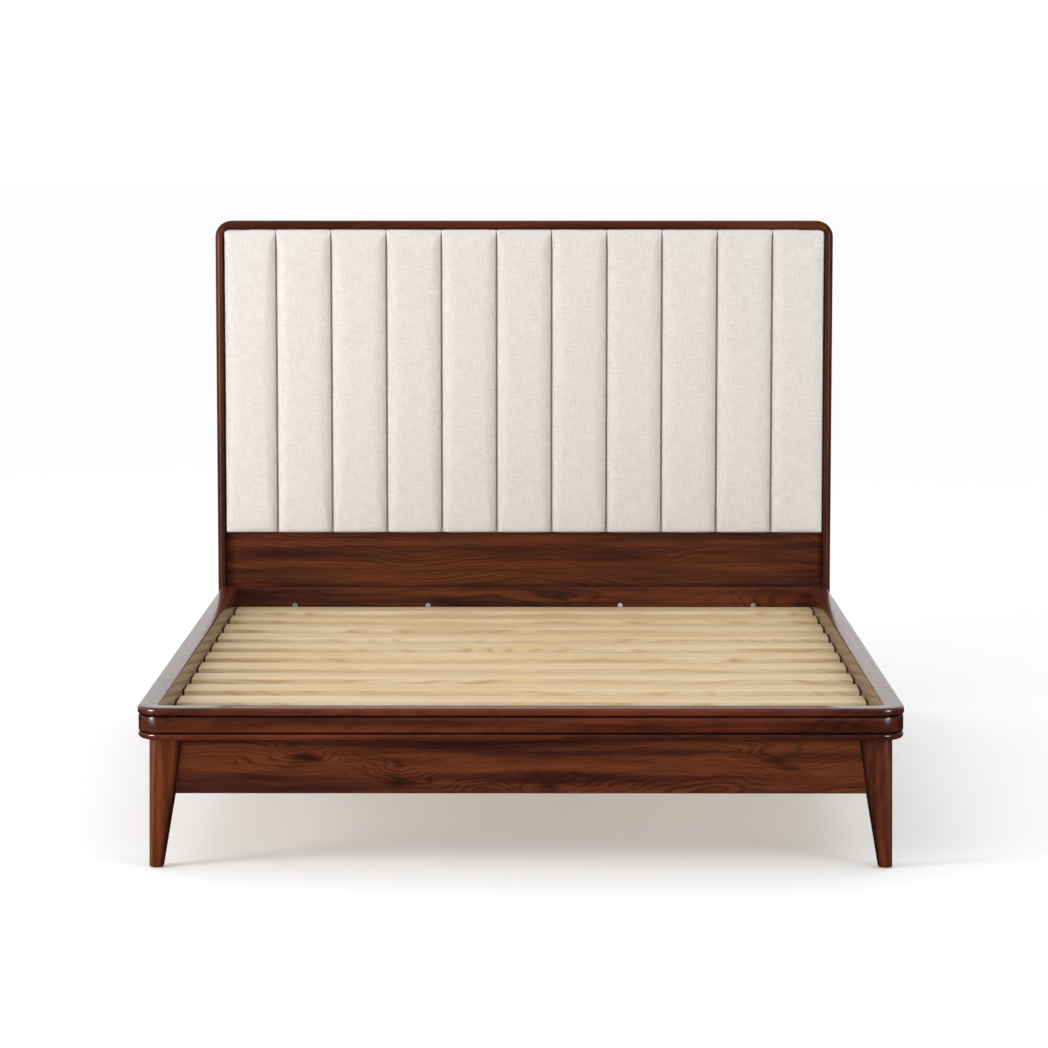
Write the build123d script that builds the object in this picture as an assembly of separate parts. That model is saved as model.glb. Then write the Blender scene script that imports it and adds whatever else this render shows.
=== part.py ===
from build123d import *
import os
from math import copysign, sqrt

# Queen-size platform bed with a channelled, upholstered headboard.
# Millimetres. X runs across the bed, +Y from the foot to the head, Z up from the floor.
# The origin is on the floor, under the middle of the whole bed.

# Platform
platform_width = 1640.0        # over the outer faces of the rim
platform_length = 2130.0       # from the foot face of the rim to the headboard
rim_top = 349.0
rim_height = 70.0
rim_width = 45.0               # the ledge round the mattress
rim_corner = 58.0              # plan radius of the foot corners
head_rim_width = 30.0
lower_bead = 17.0              # height of the rim's lowest bead
upper_bead = 16.0              # height of its top bead
bead_groove = 4.0              # depth of the two grooves, from the outermost face
middle_set_back = 1.5
lower_set_back = 1.0
underside_round = 13.0
top_round = 6.0
ledge_round = 3.0

# Aprons and legs; insets are measured from the outer face of the rim
apron_height = 119.0
apron_thickness = 27.0
apron_inset = 36.0
apron_end = 76.0               # how far in from the corner an apron stops, inside the leg
leg_inset = 25.5
leg_splay = 1.5                # how far the foot of a leg stands out beyond its top
leg_top_width = 74.0
leg_top_round = 20.0
leg_foot_width = 30.0
leg_foot_round = 9.0
leg_foot_edge = 3.0

# Headboard
headboard_overhang = 10.0      # past the rim, on each side
headboard_height = 1337.0
headboard_depth = 65.0
frame_band = 23.0              # face width of its stiles and top rail
frame_corner = 43.0            # outer radius of its upper corners
frame_outer_round = 13.0
frame_inner_round = 7.0
panel_bottom = 495.0           # lower edge of the upholstery
bottom_rail_height = 149.0
bottom_rail_depth = 43.5
lower_board_thickness = 22.0
upholstery_board_thickness = 18.0
back_panel_thickness = 9.0
back_panel_lap = 20.0          # how far the back panel laps the bottom rail
back_panel_tongue = 7.5        # how far it enters the frame's groove
channel_count = 11
outer_channel = 139.65         # width of the two outer channels; the others share the rest
channel_crown = 23.5           # thickness of a channel at its middle
channel_edge = 14.0            # and at its seams

# Slats and their support
slat_count = 12
slat_width = 100.0
slat_thickness = 20.0
slat_margin = 15.0             # from the first and last slat to the rim
ledger_width = 30.0
ledger_height = 40.0
beam_width = 45.0
beam_height = 70.0
centre_leg_width = 45.0
centre_leg_round = 4.0
front_leg_spot = 1050.0        # centre leg, from the foot face of the rim
rear_leg_spot = 480.0          # centre leg, from the headboard
hanger_plate = 2.0
hanger_length = 40.0
hanger_height = 55.0
hanger_flange = 28.0

# Hardware
bracket_plate = 3.0
bracket_reach = 200.0          # inset plus inset of the bracket's diagonal face
bracket_flange = 45.0
bracket_bottom = 172.0
bracket_height = 64.0
bolt_radius = 4.0
bolt_heights = (190.0, 218.0)
bolt_start = 50.0              # inset of a hanger bolt's end inside the leg
bolt_tail = 5.0                # what shows beyond its nut
nut_flats = 13.0
nut_height = 6.5
flange_radius = 8.5
flange_height = 1.6
head_height = 5.3
head_bolt_spots = (260.0, 620.0)
head_bolt_height = 300.0
head_nut_pocket = 8.5
dowel_radius = 4.0
dowel_length = 30.0
slat_screw_length = 40.0
bracket_screw_length = 18.0
screw_radius = 2.0
screw_head_radius = 4.0
screw_head_height = 2.6
screw_tip = 5.0
glide_radius = 9.0
glide_height = 2.0
glide_pin_radius = 2.0
glide_pin_length = 12.0
foot_radius = 20.0
foot_height = 7.0
foot_round = 3.0
foot_collar_flats = 15.0
foot_collar_height = 5.5
foot_stud_length = 39.5
foot_travel_up = 8.0           # room between the collar and the insert
insert_radius = 5.5
insert_length = 15.0
insert_flange_radius = 11.0
insert_flange_height = 1.5
stud_bore_extra = 15.0

# Clearances
running_fit = 0.05             # studs, bolts and dowels in their bores, on the radius
bolt_clearance = 0.3
screw_clearance = 0.1
soft_gap = 0.3                 # upholstery to its neighbours
groove_clearance = 0.3
board_clearance = 1.5
slat_clearance = 3.0
beam_clearance = 1.0
ledger_clearance = 2.0
dowel_end_clearance = 0.5

# Places that follow from the sizes above
half_width = platform_width / 2
half_headboard = half_width + headboard_overhang
foot_y = -(platform_length + headboard_depth) / 2
head_y = foot_y + platform_length
middle_y = (foot_y + head_y) / 2
rim_bottom = rim_top - rim_height
apron_bottom = rim_bottom - apron_height
apron_back = apron_inset + apron_thickness
slat_top = rim_bottom + slat_thickness
opening_half = half_headboard - frame_band
opening_top = headboard_height - frame_band
opening_corner = frame_corner - frame_band
channel_pitch = 2 * (opening_half - outer_channel) / (channel_count - 2)
panel_y = head_y + bottom_rail_depth
board_y = panel_y - upholstery_board_thickness
bottom_rail_bottom = rim_top - bottom_rail_height
beam_bottom = rim_bottom - beam_height
insert_z = foot_height + foot_collar_height + foot_travel_up


def save(shape, name):
    shape.label = name
    export_step(shape, f"parts/{name}.step")


def block(x0, x1, y0, y1, z0, z1):
    return Pos((x0 + x1) / 2, (y0 + y1) / 2, (z0 + z1) / 2) * Box(x1 - x0, y1 - y0, z1 - z0)


def other_side(shape):
    return mirror(shape, about=Plane.YZ)


def other_end(shape):
    return mirror(shape, about=Plane((0, middle_y, 0), z_dir=(0, 1, 0)))


def along(point, direction):
    """A plane at the point whose own -Z runs along the direction."""
    return Plane(origin=point, z_dir=(-direction[0], -direction[1], -direction[2]))


def corner_point(inset_x, inset_y, z):
    """A point of the right foot corner, by its insets from the rim's outer faces."""
    return (half_width - inset_x, foot_y + inset_y, z)


# Fasteners ------------------------------------------------------------------------------

def screw(length, point, direction, clearance=0.0):
    """A countersunk screw with its head flush at the point, or the hole for it."""
    outline = Polyline(
        (0, 0),
        (screw_head_radius + clearance, 0),
        (screw_radius + clearance, -screw_head_height),
        (screw_radius + clearance, screw_tip - length),
        (0, -length - clearance),
        close=True,
    )
    turned = revolve(Plane.XZ * make_face(outline), axis=Axis.Z)
    return along(point, direction) * turned


def screws(length, spots, clearance=0.0):
    return [screw(length, point, direction, clearance) for point, direction in spots]


def dowel(point, direction, hole=False):
    """A dowel centred on the joint that it crosses, or the hole for it."""
    radius = dowel_radius + (running_fit if hole else 0.0)
    length = dowel_length + (2 * dowel_end_clearance if hole else 0.0)
    return along(point, direction) * Cylinder(radius, length)


def dowels(spots, hole=False):
    return [dowel(point, direction, hole) for point, direction in spots]


def rod(point, direction, radius, length):
    """A plain round bar from the point along the direction."""
    bar = Pos(0, 0, -length / 2) * Cylinder(radius, length)
    return along(point, direction) * bar


def hex_bar(point, direction, flats, length):
    """A hexagonal bar from the point along the direction."""
    outline = RegularPolygon(flats / 2, 6, major_radius=False)
    return along(point, direction) * extrude(outline, amount=-length)


def hex_nut(point, direction):
    return hex_bar(point, direction, nut_flats, nut_height) - rod(
        point, direction, bolt_radius + running_fit, nut_height
    )


# Where the fasteners go -----------------------------------------------------------------

def both_sides(spots):
    flipped = [((-x, y, z), (-dx, dy, dz)) for (x, y, z), (dx, dy, dz) in spots]
    return spots + flipped


def rim_mitre_spots():
    """Two dowels across each foot mitre, square to the mitre face."""
    step = sqrt(0.5)
    reach = (rim_corner - 0.45 * rim_width) * step
    x = half_width - rim_corner + reach
    y = foot_y + rim_corner - reach
    heights = (rim_bottom + rim_height / 3, rim_bottom + 2 * rim_height / 3)
    return both_sides([((x, y, z), (step, step, 0)) for z in heights])


def rim_head_spots():
    heights = (rim_bottom + rim_height / 3, rim_bottom + 2 * rim_height / 3)
    y = head_y - head_rim_width / 2
    return both_sides([((half_width - rim_width, y, z), (1, 0, 0)) for z in heights])


def leg_spots(inset_pairs):
    """Upright dowels from a leg into the rim."""
    return both_sides([(corner_point(a, b, rim_bottom), (0, 0, 1)) for a, b in inset_pairs])


def foot_leg_spots():
    near = (apron_inset, rim_corner)
    return leg_spots([near, near[::-1]])


def head_leg_spots():
    """The same, turned end for end, but all of them under the side rail."""
    spots = leg_spots([(apron_inset, rim_corner - 12), (apron_inset, rim_corner + 8)])
    return [((x, 2 * middle_y - y, z), way) for (x, y, z), way in spots]


def frame_mitre_spots():
    """Two dowels across each upper corner of the headboard frame."""
    step = sqrt(0.5)
    reach = (frame_corner - frame_band / 2) * step
    x = half_headboard - frame_corner + reach
    z = headboard_height - frame_corner + reach
    depths = (0.25 * headboard_depth, 0.5 * headboard_depth)
    return both_sides([((x, head_y + d, z), (step, 0, -step)) for d in depths])


def bottom_rail_spots():
    y = head_y + bottom_rail_depth / 2
    heights = (bottom_rail_bottom + 30, rim_top - 30)
    return both_sides([((opening_half, y, z), (1, 0, 0)) for z in heights])


def lower_board_spots():
    y = panel_y - lower_board_thickness / 2
    heights = (rim_top + 45, panel_bottom - 45)
    return both_sides([((opening_half, y, z), (1, 0, 0)) for z in heights])


def centre_leg_dowel_spots(y):
    return [((x, y, beam_bottom), (0, 0, 1)) for x in (-centre_leg_width / 4, centre_leg_width / 4)]


def slat_centres():
    first = foot_y + rim_width + slat_margin + slat_width / 2
    last = head_y - head_rim_width - slat_margin - slat_width / 2
    pitch = (last - first) / (slat_count - 1)
    return [first + i * pitch for i in range(slat_count)]


def slat_spots(y):
    """A screw at each end of a slat, on the side nearer the middle of the bed."""
    x = half_width - apron_back - ledger_width / 2
    screw_y = y - copysign(slat_width / 4, y - middle_y)
    return both_sides([((x, screw_y, slat_top), (0, 0, -1))])


def ledger_spots():
    """Five screws through the right ledger into its apron."""
    x = half_width - apron_back - ledger_width
    z = rim_bottom - ledger_height / 2
    span = platform_length - 2 * (leg_inset + leg_top_width) - 200
    return [((x, middle_y + (i / 4 - 0.5) * span, z), (1, 0, 0)) for i in range(5)]


def bracket_spots():
    """Four screws of the right foot bracket: two in each flange."""
    inset = bracket_reach - apron_back + bracket_flange / 2
    face = apron_back + bracket_plate
    spots = []
    for z in bolt_heights:
        spots.append((corner_point(inset, face, z), (0, -1, 0)))
        spots.append((corner_point(face, inset, z), (1, 0, 0)))
    return spots


def hanger_face_spots():
    """Screws through the foot hanger's flanges into the foot apron."""
    x = beam_width / 2 + hanger_plate + hanger_flange / 2
    y = foot_y + apron_back + hanger_plate
    heights = (beam_bottom + hanger_height / 4, beam_bottom + 3 * hanger_height / 4)
    return both_sides([((x, y, z), (0, -1, 0)) for z in heights])


def hanger_side_spots():
    """Screws through the foot hanger's cheeks into the beam."""
    y = foot_y + apron_back + 0.6 * hanger_length
    x = beam_width / 2 + hanger_plate
    return both_sides([((x, y, beam_bottom + hanger_height / 2), (-1, 0, 0))])


def end_for_end(spots):
    return [((x, 2 * middle_y - y, z), (dx, -dy, dz)) for (x, y, z), (dx, dy, dz) in spots]


def back_panel_spots():
    """Screws through the back panel into the boards and the bottom rail."""
    edge = opening_half - 45
    rows = {
        rim_top - back_panel_lap / 2: (0.25 * edge, 0.75 * edge),
        (rim_top + panel_bottom) / 2: (0.25 * edge, 0.75 * edge),
        panel_bottom + 30: (0.5 * edge, edge),
        (panel_bottom + opening_top) / 2: (0.5 * edge, edge),
        opening_top - 45: (0.5 * edge, edge),
    }
    y = panel_y + back_panel_thickness
    spots = [((x, y, z), (0, -1, 0)) for z, line in rows.items() for x in line]
    return both_sides(spots)


def head_bolt_centres():
    return [(side * x, head_bolt_height) for x in head_bolt_spots for side in (-1, 1)]


# Platform -------------------------------------------------------------------------------

def rim_section():
    """The moulding: X is inward from the outer face, Y is up from the underside."""
    lower = bead_groove - lower_set_back
    middle = bead_groove - middle_set_back
    waist = rim_height - upper_bead
    edges = [
        Line((rim_width, 0), (lower_set_back + underside_round, 0)),
        CenterArc((lower_set_back + underside_round, underside_round), underside_round, 180, 90),
        Line((lower_set_back, underside_round), (lower_set_back, lower_bead - lower)),
        CenterArc((bead_groove, lower_bead - lower), lower, 90, 90),
        CenterArc((bead_groove, lower_bead + middle), middle, 180, 90),
        Line((middle_set_back, lower_bead + middle), (middle_set_back, waist - middle)),
        CenterArc((bead_groove, waist - middle), middle, 90, 90),
        CenterArc((bead_groove, waist + bead_groove), bead_groove, 180, 90),
        Line((0, waist + bead_groove), (0, rim_height - top_round)),
        CenterArc((top_round, rim_height - top_round), top_round, 90, 90),
        Line((top_round, rim_height), (rim_width - ledge_round, rim_height)),
        CenterArc((rim_width - ledge_round, rim_height - ledge_round), ledge_round, 0, 90),
        Line((rim_width, rim_height - ledge_round), (rim_width, 0)),
    ]
    return make_face(Curve() + edges)


def rim_turn(section, clockwise):
    """Half of the right foot corner: the section turned up to the mitre."""
    centre = (half_width - rim_corner, foot_y + rim_corner, 0)
    axis = Axis(centre, (0, 0, -1 if clockwise else 1))
    return revolve(section, axis=axis, revolution_arc=45)


def rim_foot():
    end = half_width - rim_corner
    start = Plane(origin=(-end, foot_y, rim_bottom), x_dir=(0, 1, 0), z_dir=(1, 0, 0))
    straight = extrude(start * rim_section(), amount=2 * end)
    finish = Plane(origin=(end, foot_y, rim_bottom), x_dir=(0, 1, 0), z_dir=(1, 0, 0))
    turn = rim_turn(finish * rim_section(), clockwise=False)
    holes = dowels(rim_mitre_spots() + foot_leg_spots(), hole=True)
    return straight + turn + other_side(turn) - holes


def rim_right():
    start = Plane(
        origin=(half_width, foot_y + rim_corner, rim_bottom), x_dir=(-1, 0, 0), z_dir=(0, 1, 0)
    )
    straight = extrude(start * rim_section(), amount=platform_length - rim_corner)
    turn = rim_turn(start * rim_section(), clockwise=True)
    spots = rim_mitre_spots() + foot_leg_spots() + head_leg_spots() + rim_head_spots()
    return straight + turn - dowels(spots, hole=True)


def rim_head():
    inner = half_width - rim_width
    rail = block(-inner, inner, head_y - head_rim_width, head_y, rim_bottom, rim_top)
    upper_edge = rail.edges().filter_by(Axis.X).group_by(Axis.Z)[-1].sort_by(Axis.Y)[0]
    rail = fillet(upper_edge, ledge_round)
    bores = [
        rod((x, head_y, z), (0, -1, 0), bolt_radius + bolt_clearance, head_rim_width)
        for x, z in head_bolt_centres()
    ]
    pockets = [
        rod((x, head_y - head_rim_width, z), (0, 1, 0), 0.7 * nut_flats, head_nut_pocket)
        for x, z in head_bolt_centres()
    ]
    return rail - bores - pockets - dowels(rim_head_spots(), hole=True)


def apron_foot_blank():
    end = half_width - apron_end
    return block(-end, end, foot_y + apron_inset, foot_y + apron_back, apron_bottom, rim_bottom)


def apron_right_blank():
    outer = half_width - apron_inset
    inner = half_width - apron_back
    return block(inner, outer, foot_y + apron_end, head_y - apron_end, apron_bottom, rim_bottom)


def apron_foot():
    into_foot = [spot for spot in bracket_spots() if spot[1][0] == 0]
    spots = both_sides(into_foot) + hanger_face_spots()
    return apron_foot_blank() - screws(bracket_screw_length, spots, screw_clearance)


def apron_right():
    into_side = [spot for spot in bracket_spots() if spot[1][0] == 1]
    spots = into_side + end_for_end(into_side)
    holes = screws(bracket_screw_length, spots, screw_clearance)
    holes += screws(slat_screw_length, ledger_spots(), screw_clearance)
    return apron_right_blank() - holes


def leg_blank():
    """The right foot leg: a rounded square that tapers on its inner faces."""
    foot_inset = leg_inset - leg_splay
    ends = (
        (foot_inset, leg_foot_width, leg_foot_round, glide_height),
        (leg_inset, leg_top_width, leg_top_round, rim_bottom),
    )
    sections = []
    for inset, width, radius, z in ends:
        centre = corner_point(inset + width / 2, inset + width / 2, z)
        sections.append(Pos(*centre) * RectangleRounded(width, width, radius))
    leg = loft(sections, ruled=True)
    return fillet(leg.faces().sort_by(Axis.Z)[0].edges(), leg_foot_edge)


def glide_centre():
    return leg_inset - leg_splay + leg_foot_width / 2


def leg_right():
    """The leg with its housings for the aprons and its bores, but no dowel holes."""
    step = sqrt(0.5)
    bores = []
    for z in bolt_heights:
        start = corner_point(bolt_start - 1, bolt_start - 1, z)
        bores.append(rod(start, (-step, step, 0), bolt_radius + running_fit, 2 * leg_top_width))
    pin_room = glide_height + glide_pin_length + 1
    pin_point = corner_point(glide_centre(), glide_centre(), 0)
    bores.append(rod(pin_point, (0, 0, 1), glide_pin_radius + running_fit, pin_room))
    return leg_blank() - [apron_foot_blank(), apron_right_blank()] - bores


def ledger_right():
    outer = half_width - apron_back
    start = leg_inset + leg_top_width + ledger_clearance
    batten = block(
        outer - ledger_width,
        outer,
        foot_y + start,
        head_y - start,
        rim_bottom - ledger_height,
        rim_bottom,
    )
    spots = ledger_spots()
    for y in slat_centres():
        spots += slat_spots(y)[:1]
    return batten - screws(slat_screw_length, spots, screw_clearance)


def centre_beam():
    beam = block(
        -beam_width / 2,
        beam_width / 2,
        foot_y + apron_back + beam_clearance,
        head_y - apron_back - beam_clearance,
        beam_bottom,
        rim_bottom,
    )
    spots = hanger_side_spots() + end_for_end(hanger_side_spots())
    holes = screws(bracket_screw_length, spots, screw_clearance)
    for y in centre_leg_places():
        holes += dowels(centre_leg_dowel_spots(y), hole=True)
    return beam - holes


def centre_leg_places():
    return [foot_y + front_leg_spot, head_y - rear_leg_spot]


def centre_leg(y):
    half = centre_leg_width / 2
    bottom = insert_z + insert_flange_height
    post = block(-half, half, y - half, y + half, bottom, beam_bottom)
    post = fillet(post.edges().filter_by(Axis.Z), centre_leg_round)
    sleeve = rod((0, y, bottom), (0, 0, 1), insert_radius + running_fit, insert_length)
    stud_top = foot_height + foot_collar_height + foot_stud_length
    room = stud_top + foot_travel_up + stud_bore_extra - bottom
    bore = rod((0, y, bottom), (0, 0, 1), bolt_radius + bolt_clearance, room)
    return post - [sleeve, bore] - dowels(centre_leg_dowel_spots(y), hole=True)


def levelling_foot(y):
    """A nylon base moulded round a threaded stud, with a hexagon to turn it by."""
    base = Pos(0, y, foot_height / 2) * Cylinder(foot_radius, foot_height)
    base = fillet(base.edges().sort_by(Axis.Z)[-1], foot_round)
    collar = hex_bar((0, y, foot_height), (0, 0, 1), foot_collar_flats, foot_collar_height)
    stud = rod(
        (0, y, foot_height + foot_collar_height), (0, 0, 1), bolt_radius, foot_stud_length
    )
    return base + collar + stud


def foot_inserts():
    """Flanged threaded sleeves in the undersides of the centre legs."""
    inserts = []
    for y in centre_leg_places():
        flange = rod((0, y, insert_z), (0, 0, 1), insert_flange_radius, insert_flange_height)
        sleeve = rod((0, y, insert_z), (0, 0, 1), insert_radius, insert_length)
        bore = rod((0, y, insert_z), (0, 0, 1), bolt_radius + running_fit, insert_length)
        inserts.append(flange + sleeve - bore)
    return Compound(children=inserts)


def slat(y):
    half = half_width - rim_width - slat_clearance
    board = block(-half, half, y - slat_width / 2, y + slat_width / 2, rim_bottom, slat_top)
    long_edges = board.edges().filter_by(Axis.X).group_by(Axis.Z)[-1]
    board = fillet(long_edges, slat_thickness / 8)
    return board - screws(slat_screw_length, slat_spots(y), screw_clearance)


# Steel that holds the platform together ---------------------------------------------------

def bracket():
    """The right foot corner bracket: a diagonal plate with a flange to each apron."""
    far = bracket_reach - apron_back
    tip = far + bracket_flange
    inner = apron_back + bracket_plate
    inner_far = bracket_reach + bracket_plate * sqrt(2) - inner
    insets = [
        (tip, apron_back),
        (far, apron_back),
        (apron_back, far),
        (apron_back, tip),
        (inner, tip),
        (inner, inner_far),
        (inner_far, inner),
        (tip, inner),
    ]
    outline = [corner_point(a, b, bracket_bottom) for a, b in insets]
    plate = extrude(make_face(Polyline(*outline, close=True)), amount=bracket_height, dir=(0, 0, 1))
    step = sqrt(0.5)
    bores = []
    for z in bolt_heights:
        start = corner_point(bolt_start, bolt_start, z)
        bores.append(rod(start, (-step, step, 0), bolt_radius + bolt_clearance, platform_width / 4))
    return plate - bores - screws(bracket_screw_length, bracket_spots(), screw_clearance)


def bracket_face():
    """Inset of the bracket's inner face on the diagonal, the same in X and Y."""
    return bracket_reach / 2 + bracket_plate * sqrt(0.5)


def hanger_bolt(z):
    step = sqrt(0.5)
    start = corner_point(bolt_start, bolt_start, z)
    length = (bracket_face() - bolt_start) * sqrt(2) + nut_height + bolt_tail
    return rod(start, (-step, step, 0), bolt_radius, length)


def hanger_nut(z):
    step = sqrt(0.5)
    return hex_nut(corner_point(bracket_face(), bracket_face(), z), (-step, step, 0))


def four_corners(shapes):
    """The shapes of the right foot corner, repeated at all four corners."""
    right = shapes + [other_end(shape) for shape in shapes]
    return right + [other_side(shape) for shape in right]


def headboard_bolt(x, z):
    """A flanged bolt from behind, through the bottom rail into the head rim."""
    head = rod((x, panel_y, z), (0, 1, 0), flange_radius, flange_height)
    head += hex_bar((x, panel_y + flange_height, z), (0, 1, 0), nut_flats, head_height)
    end_y = head_y - head_rim_width + head_nut_pocket - nut_height - 1
    return head + rod((x, panel_y, z), (0, -1, 0), bolt_radius, panel_y - end_y)


def headboard_nut(x, z):
    return hex_nut((x, head_y - head_rim_width + head_nut_pocket, z), (0, -1, 0))


def beam_hanger():
    """The foot hanger: a pressed steel stirrup with two flanges on the apron."""
    inner = beam_width / 2
    outer = inner + hanger_plate
    face = foot_y + apron_back
    end = face + hanger_length
    low = beam_bottom - hanger_plate
    top = beam_bottom + hanger_height
    stirrup = block(-outer, outer, face, end, low, top)
    stirrup -= block(-inner, inner, face, end, beam_bottom, top)
    wing = block(outer, outer + hanger_flange, face, face + hanger_plate, low, top)
    spots = hanger_face_spots() + hanger_side_spots()
    return stirrup + wing + other_side(wing) - screws(bracket_screw_length, spots, screw_clearance)


def glide(x, y):
    """A nylon disc on a pin, driven into the end of a leg."""
    disc = rod((x, y, 0), (0, 0, 1), glide_radius, glide_height)
    return disc + rod((x, y, glide_height), (0, 0, 1), glide_pin_radius, glide_pin_length)


def glide_places():
    x, y, _ = corner_point(glide_centre(), glide_centre(), 0)
    stile_x = half_headboard - frame_band / 2
    stile_y = head_y + headboard_depth / 2
    right = [(x, y), (x, 2 * middle_y - y), (stile_x, stile_y)]
    return right + [(-x, y) for x, y in right]


# Headboard --------------------------------------------------------------------------------

def band_section():
    """The frame's section: X is inward from its outer face, Y is back from its front."""
    edges = [
        Line((0, headboard_depth), (0, frame_outer_round)),
        CenterArc((frame_outer_round, frame_outer_round), frame_outer_round, 180, 90),
        Line((frame_outer_round, 0), (frame_band - frame_inner_round, 0)),
        CenterArc((frame_band - frame_inner_round, frame_inner_round), frame_inner_round, 270, 90),
        Line((frame_band, frame_inner_round), (frame_band, headboard_depth)),
        Line((frame_band, headboard_depth), (0, headboard_depth)),
    ]
    return make_face(Curve() + edges)


def frame_turn(section, way):
    """Half of the right upper corner: the section turned up to the mitre."""
    centre = (half_headboard - frame_corner, 0, headboard_height - frame_corner)
    return revolve(section, axis=Axis(centre, (0, way, 0)), revolution_arc=45)


def headboard_top_rail():
    end = half_headboard - frame_corner
    start = Plane(origin=(-end, head_y, headboard_height), x_dir=(0, 0, -1), z_dir=(1, 0, 0))
    finish = Plane(origin=(end, head_y, headboard_height), x_dir=(0, 0, -1), z_dir=(1, 0, 0))
    straight = extrude(start * band_section(), amount=2 * end)
    turn = frame_turn(finish * band_section(), way=1)
    rail = straight + turn + other_side(turn)
    return rail - back_panel_blank(groove_clearance) - dowels(frame_mitre_spots(), hole=True)


def headboard_stile_right():
    shoulder = headboard_height - frame_corner
    start = Plane(origin=(half_headboard, head_y, shoulder), x_dir=(-1, 0, 0), z_dir=(0, 0, -1))
    straight = extrude(start * band_section(), amount=shoulder - glide_height)
    stile = straight + frame_turn(start * band_section(), way=-1)
    x, y = glide_places()[2]
    pin_room = glide_height + glide_pin_length + 1
    pin = rod((x, y, 0), (0, 0, 1), glide_pin_radius + running_fit, pin_room)
    spots = frame_mitre_spots() + bottom_rail_spots() + lower_board_spots()
    return stile - back_panel_blank(groove_clearance) - pin - dowels(spots, hole=True)


def opening_outline(margin, bottom):
    """The frame's inner outline with rounded top corners, grown by the margin."""
    half = opening_half + margin
    top = opening_top + margin
    radius = opening_corner + margin
    edges = [
        Line((-half, bottom), (half, bottom)),
        Line((half, bottom), (half, top - radius)),
        CenterArc((half - radius, top - radius), radius, 0, 90),
        Line((half - radius, top), (radius - half, top)),
        CenterArc((radius - half, top - radius), radius, 90, 90),
        Line((-half, top - radius), (-half, bottom)),
    ]
    return make_face(Curve() + edges)


def upright(outline, front, thickness):
    """The outline, drawn in X and Z, as a board with its front face at the given Y."""
    sheet = Plane(origin=(0, front, 0), x_dir=(1, 0, 0), z_dir=(0, -1, 0)) * outline
    return extrude(sheet, amount=thickness, dir=(0, 1, 0))


def back_panel_blank(margin=0.0):
    outline = opening_outline(back_panel_tongue + margin, rim_top - back_panel_lap - margin)
    return upright(outline, panel_y, back_panel_thickness)


def headboard_back_panel():
    return back_panel_blank() - screws(bracket_screw_length, back_panel_spots(), screw_clearance)


def headboard_bottom_rail():
    rail = block(-opening_half, opening_half, head_y, panel_y, bottom_rail_bottom, rim_top)
    front_edges = rail.edges().filter_by(Axis.X).group_by(Axis.Y)[0]
    rail = fillet(front_edges, ledge_round)
    bores = [
        rod((x, panel_y, z), (0, -1, 0), bolt_radius + bolt_clearance, bottom_rail_depth)
        for x, z in head_bolt_centres()
    ]
    holes = screws(bracket_screw_length, back_panel_spots(), screw_clearance)
    return rail - bores - holes - dowels(bottom_rail_spots(), hole=True)


def headboard_lower_board():
    front = panel_y - lower_board_thickness
    board = block(-opening_half, opening_half, front, panel_y, rim_top, panel_bottom)
    holes = screws(bracket_screw_length, back_panel_spots(), screw_clearance)
    return board - holes - dowels(lower_board_spots(), hole=True)


def upholstery_board():
    outline = opening_outline(-board_clearance, panel_bottom)
    board = upright(outline, board_y, upholstery_board_thickness)
    return board - screws(bracket_screw_length, back_panel_spots(), screw_clearance)


def channel_pad(number):
    """One upholstered channel, crowned across its width, clear of all that it touches."""
    middle = (number - (channel_count - 1) / 2) * channel_pitch
    left = middle - channel_pitch / 2
    right = middle + channel_pitch / 2
    if number == 0:
        left = -opening_half
    if number == channel_count - 1:
        right = opening_half
    left += soft_gap / 2
    right -= soft_gap / 2
    back = board_y - soft_gap
    crown = ThreePointArc(
        (right, back - channel_edge),
        ((left + right) / 2, back - channel_crown),
        (left, back - channel_edge),
    )
    base = Polyline(
        (left, back - channel_edge), (left, back), (right, back), (right, back - channel_edge)
    )
    section = make_face(Curve() + [crown, base])
    low = panel_bottom + soft_gap
    pad = extrude(Pos(0, 0, low) * section, amount=opening_top - low, dir=(0, 0, 1))
    room = upright(opening_outline(-soft_gap, low), head_y - headboard_depth, 2 * headboard_depth)
    return pad & room


# Files ------------------------------------------------------------------------------------

os.makedirs("parts", exist_ok=True)

save(rim_foot(), "rim_foot")
save(rim_right(), "rim_right")
save(other_side(rim_right()), "rim_left")
save(rim_head(), "rim_head")

save(apron_foot(), "apron_foot")
save(other_end(apron_foot()), "apron_head")
save(apron_right(), "apron_right")
save(other_side(apron_right()), "apron_left")

foot_leg = leg_right() - dowels(foot_leg_spots(), hole=True)
head_leg = other_end(leg_right()) - dowels(head_leg_spots(), hole=True)
save(foot_leg, "leg_foot_right")
save(other_side(foot_leg), "leg_foot_left")
save(head_leg, "leg_head_right")
save(other_side(head_leg), "leg_head_left")

save(Compound(children=four_corners([bracket()])), "corner_brackets")
save(Compound(children=four_corners([hanger_bolt(z) for z in bolt_heights])), "hanger_bolts")
nuts = four_corners([hanger_nut(z) for z in bolt_heights])
nuts += [headboard_nut(x, z) for x, z in head_bolt_centres()]
save(Compound(children=nuts), "hex_nuts")
save(Compound(children=[headboard_bolt(x, z) for x, z in head_bolt_centres()]), "headboard_bolts")

save(ledger_right(), "ledger_right")
save(other_side(ledger_right()), "ledger_left")
save(centre_beam(), "centre_beam")
save(Compound(children=[beam_hanger(), other_end(beam_hanger())]), "beam_hangers")
for name, y in zip(("front", "rear"), centre_leg_places()):
    save(centre_leg(y), f"centre_leg_{name}")
    save(levelling_foot(y), f"levelling_foot_{name}")
save(foot_inserts(), "foot_inserts")
save(Compound(children=[glide(x, y) for x, y in glide_places()]), "glides")

for number, y in enumerate(slat_centres(), start=1):
    save(slat(y), f"slat_{number:02d}")

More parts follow.
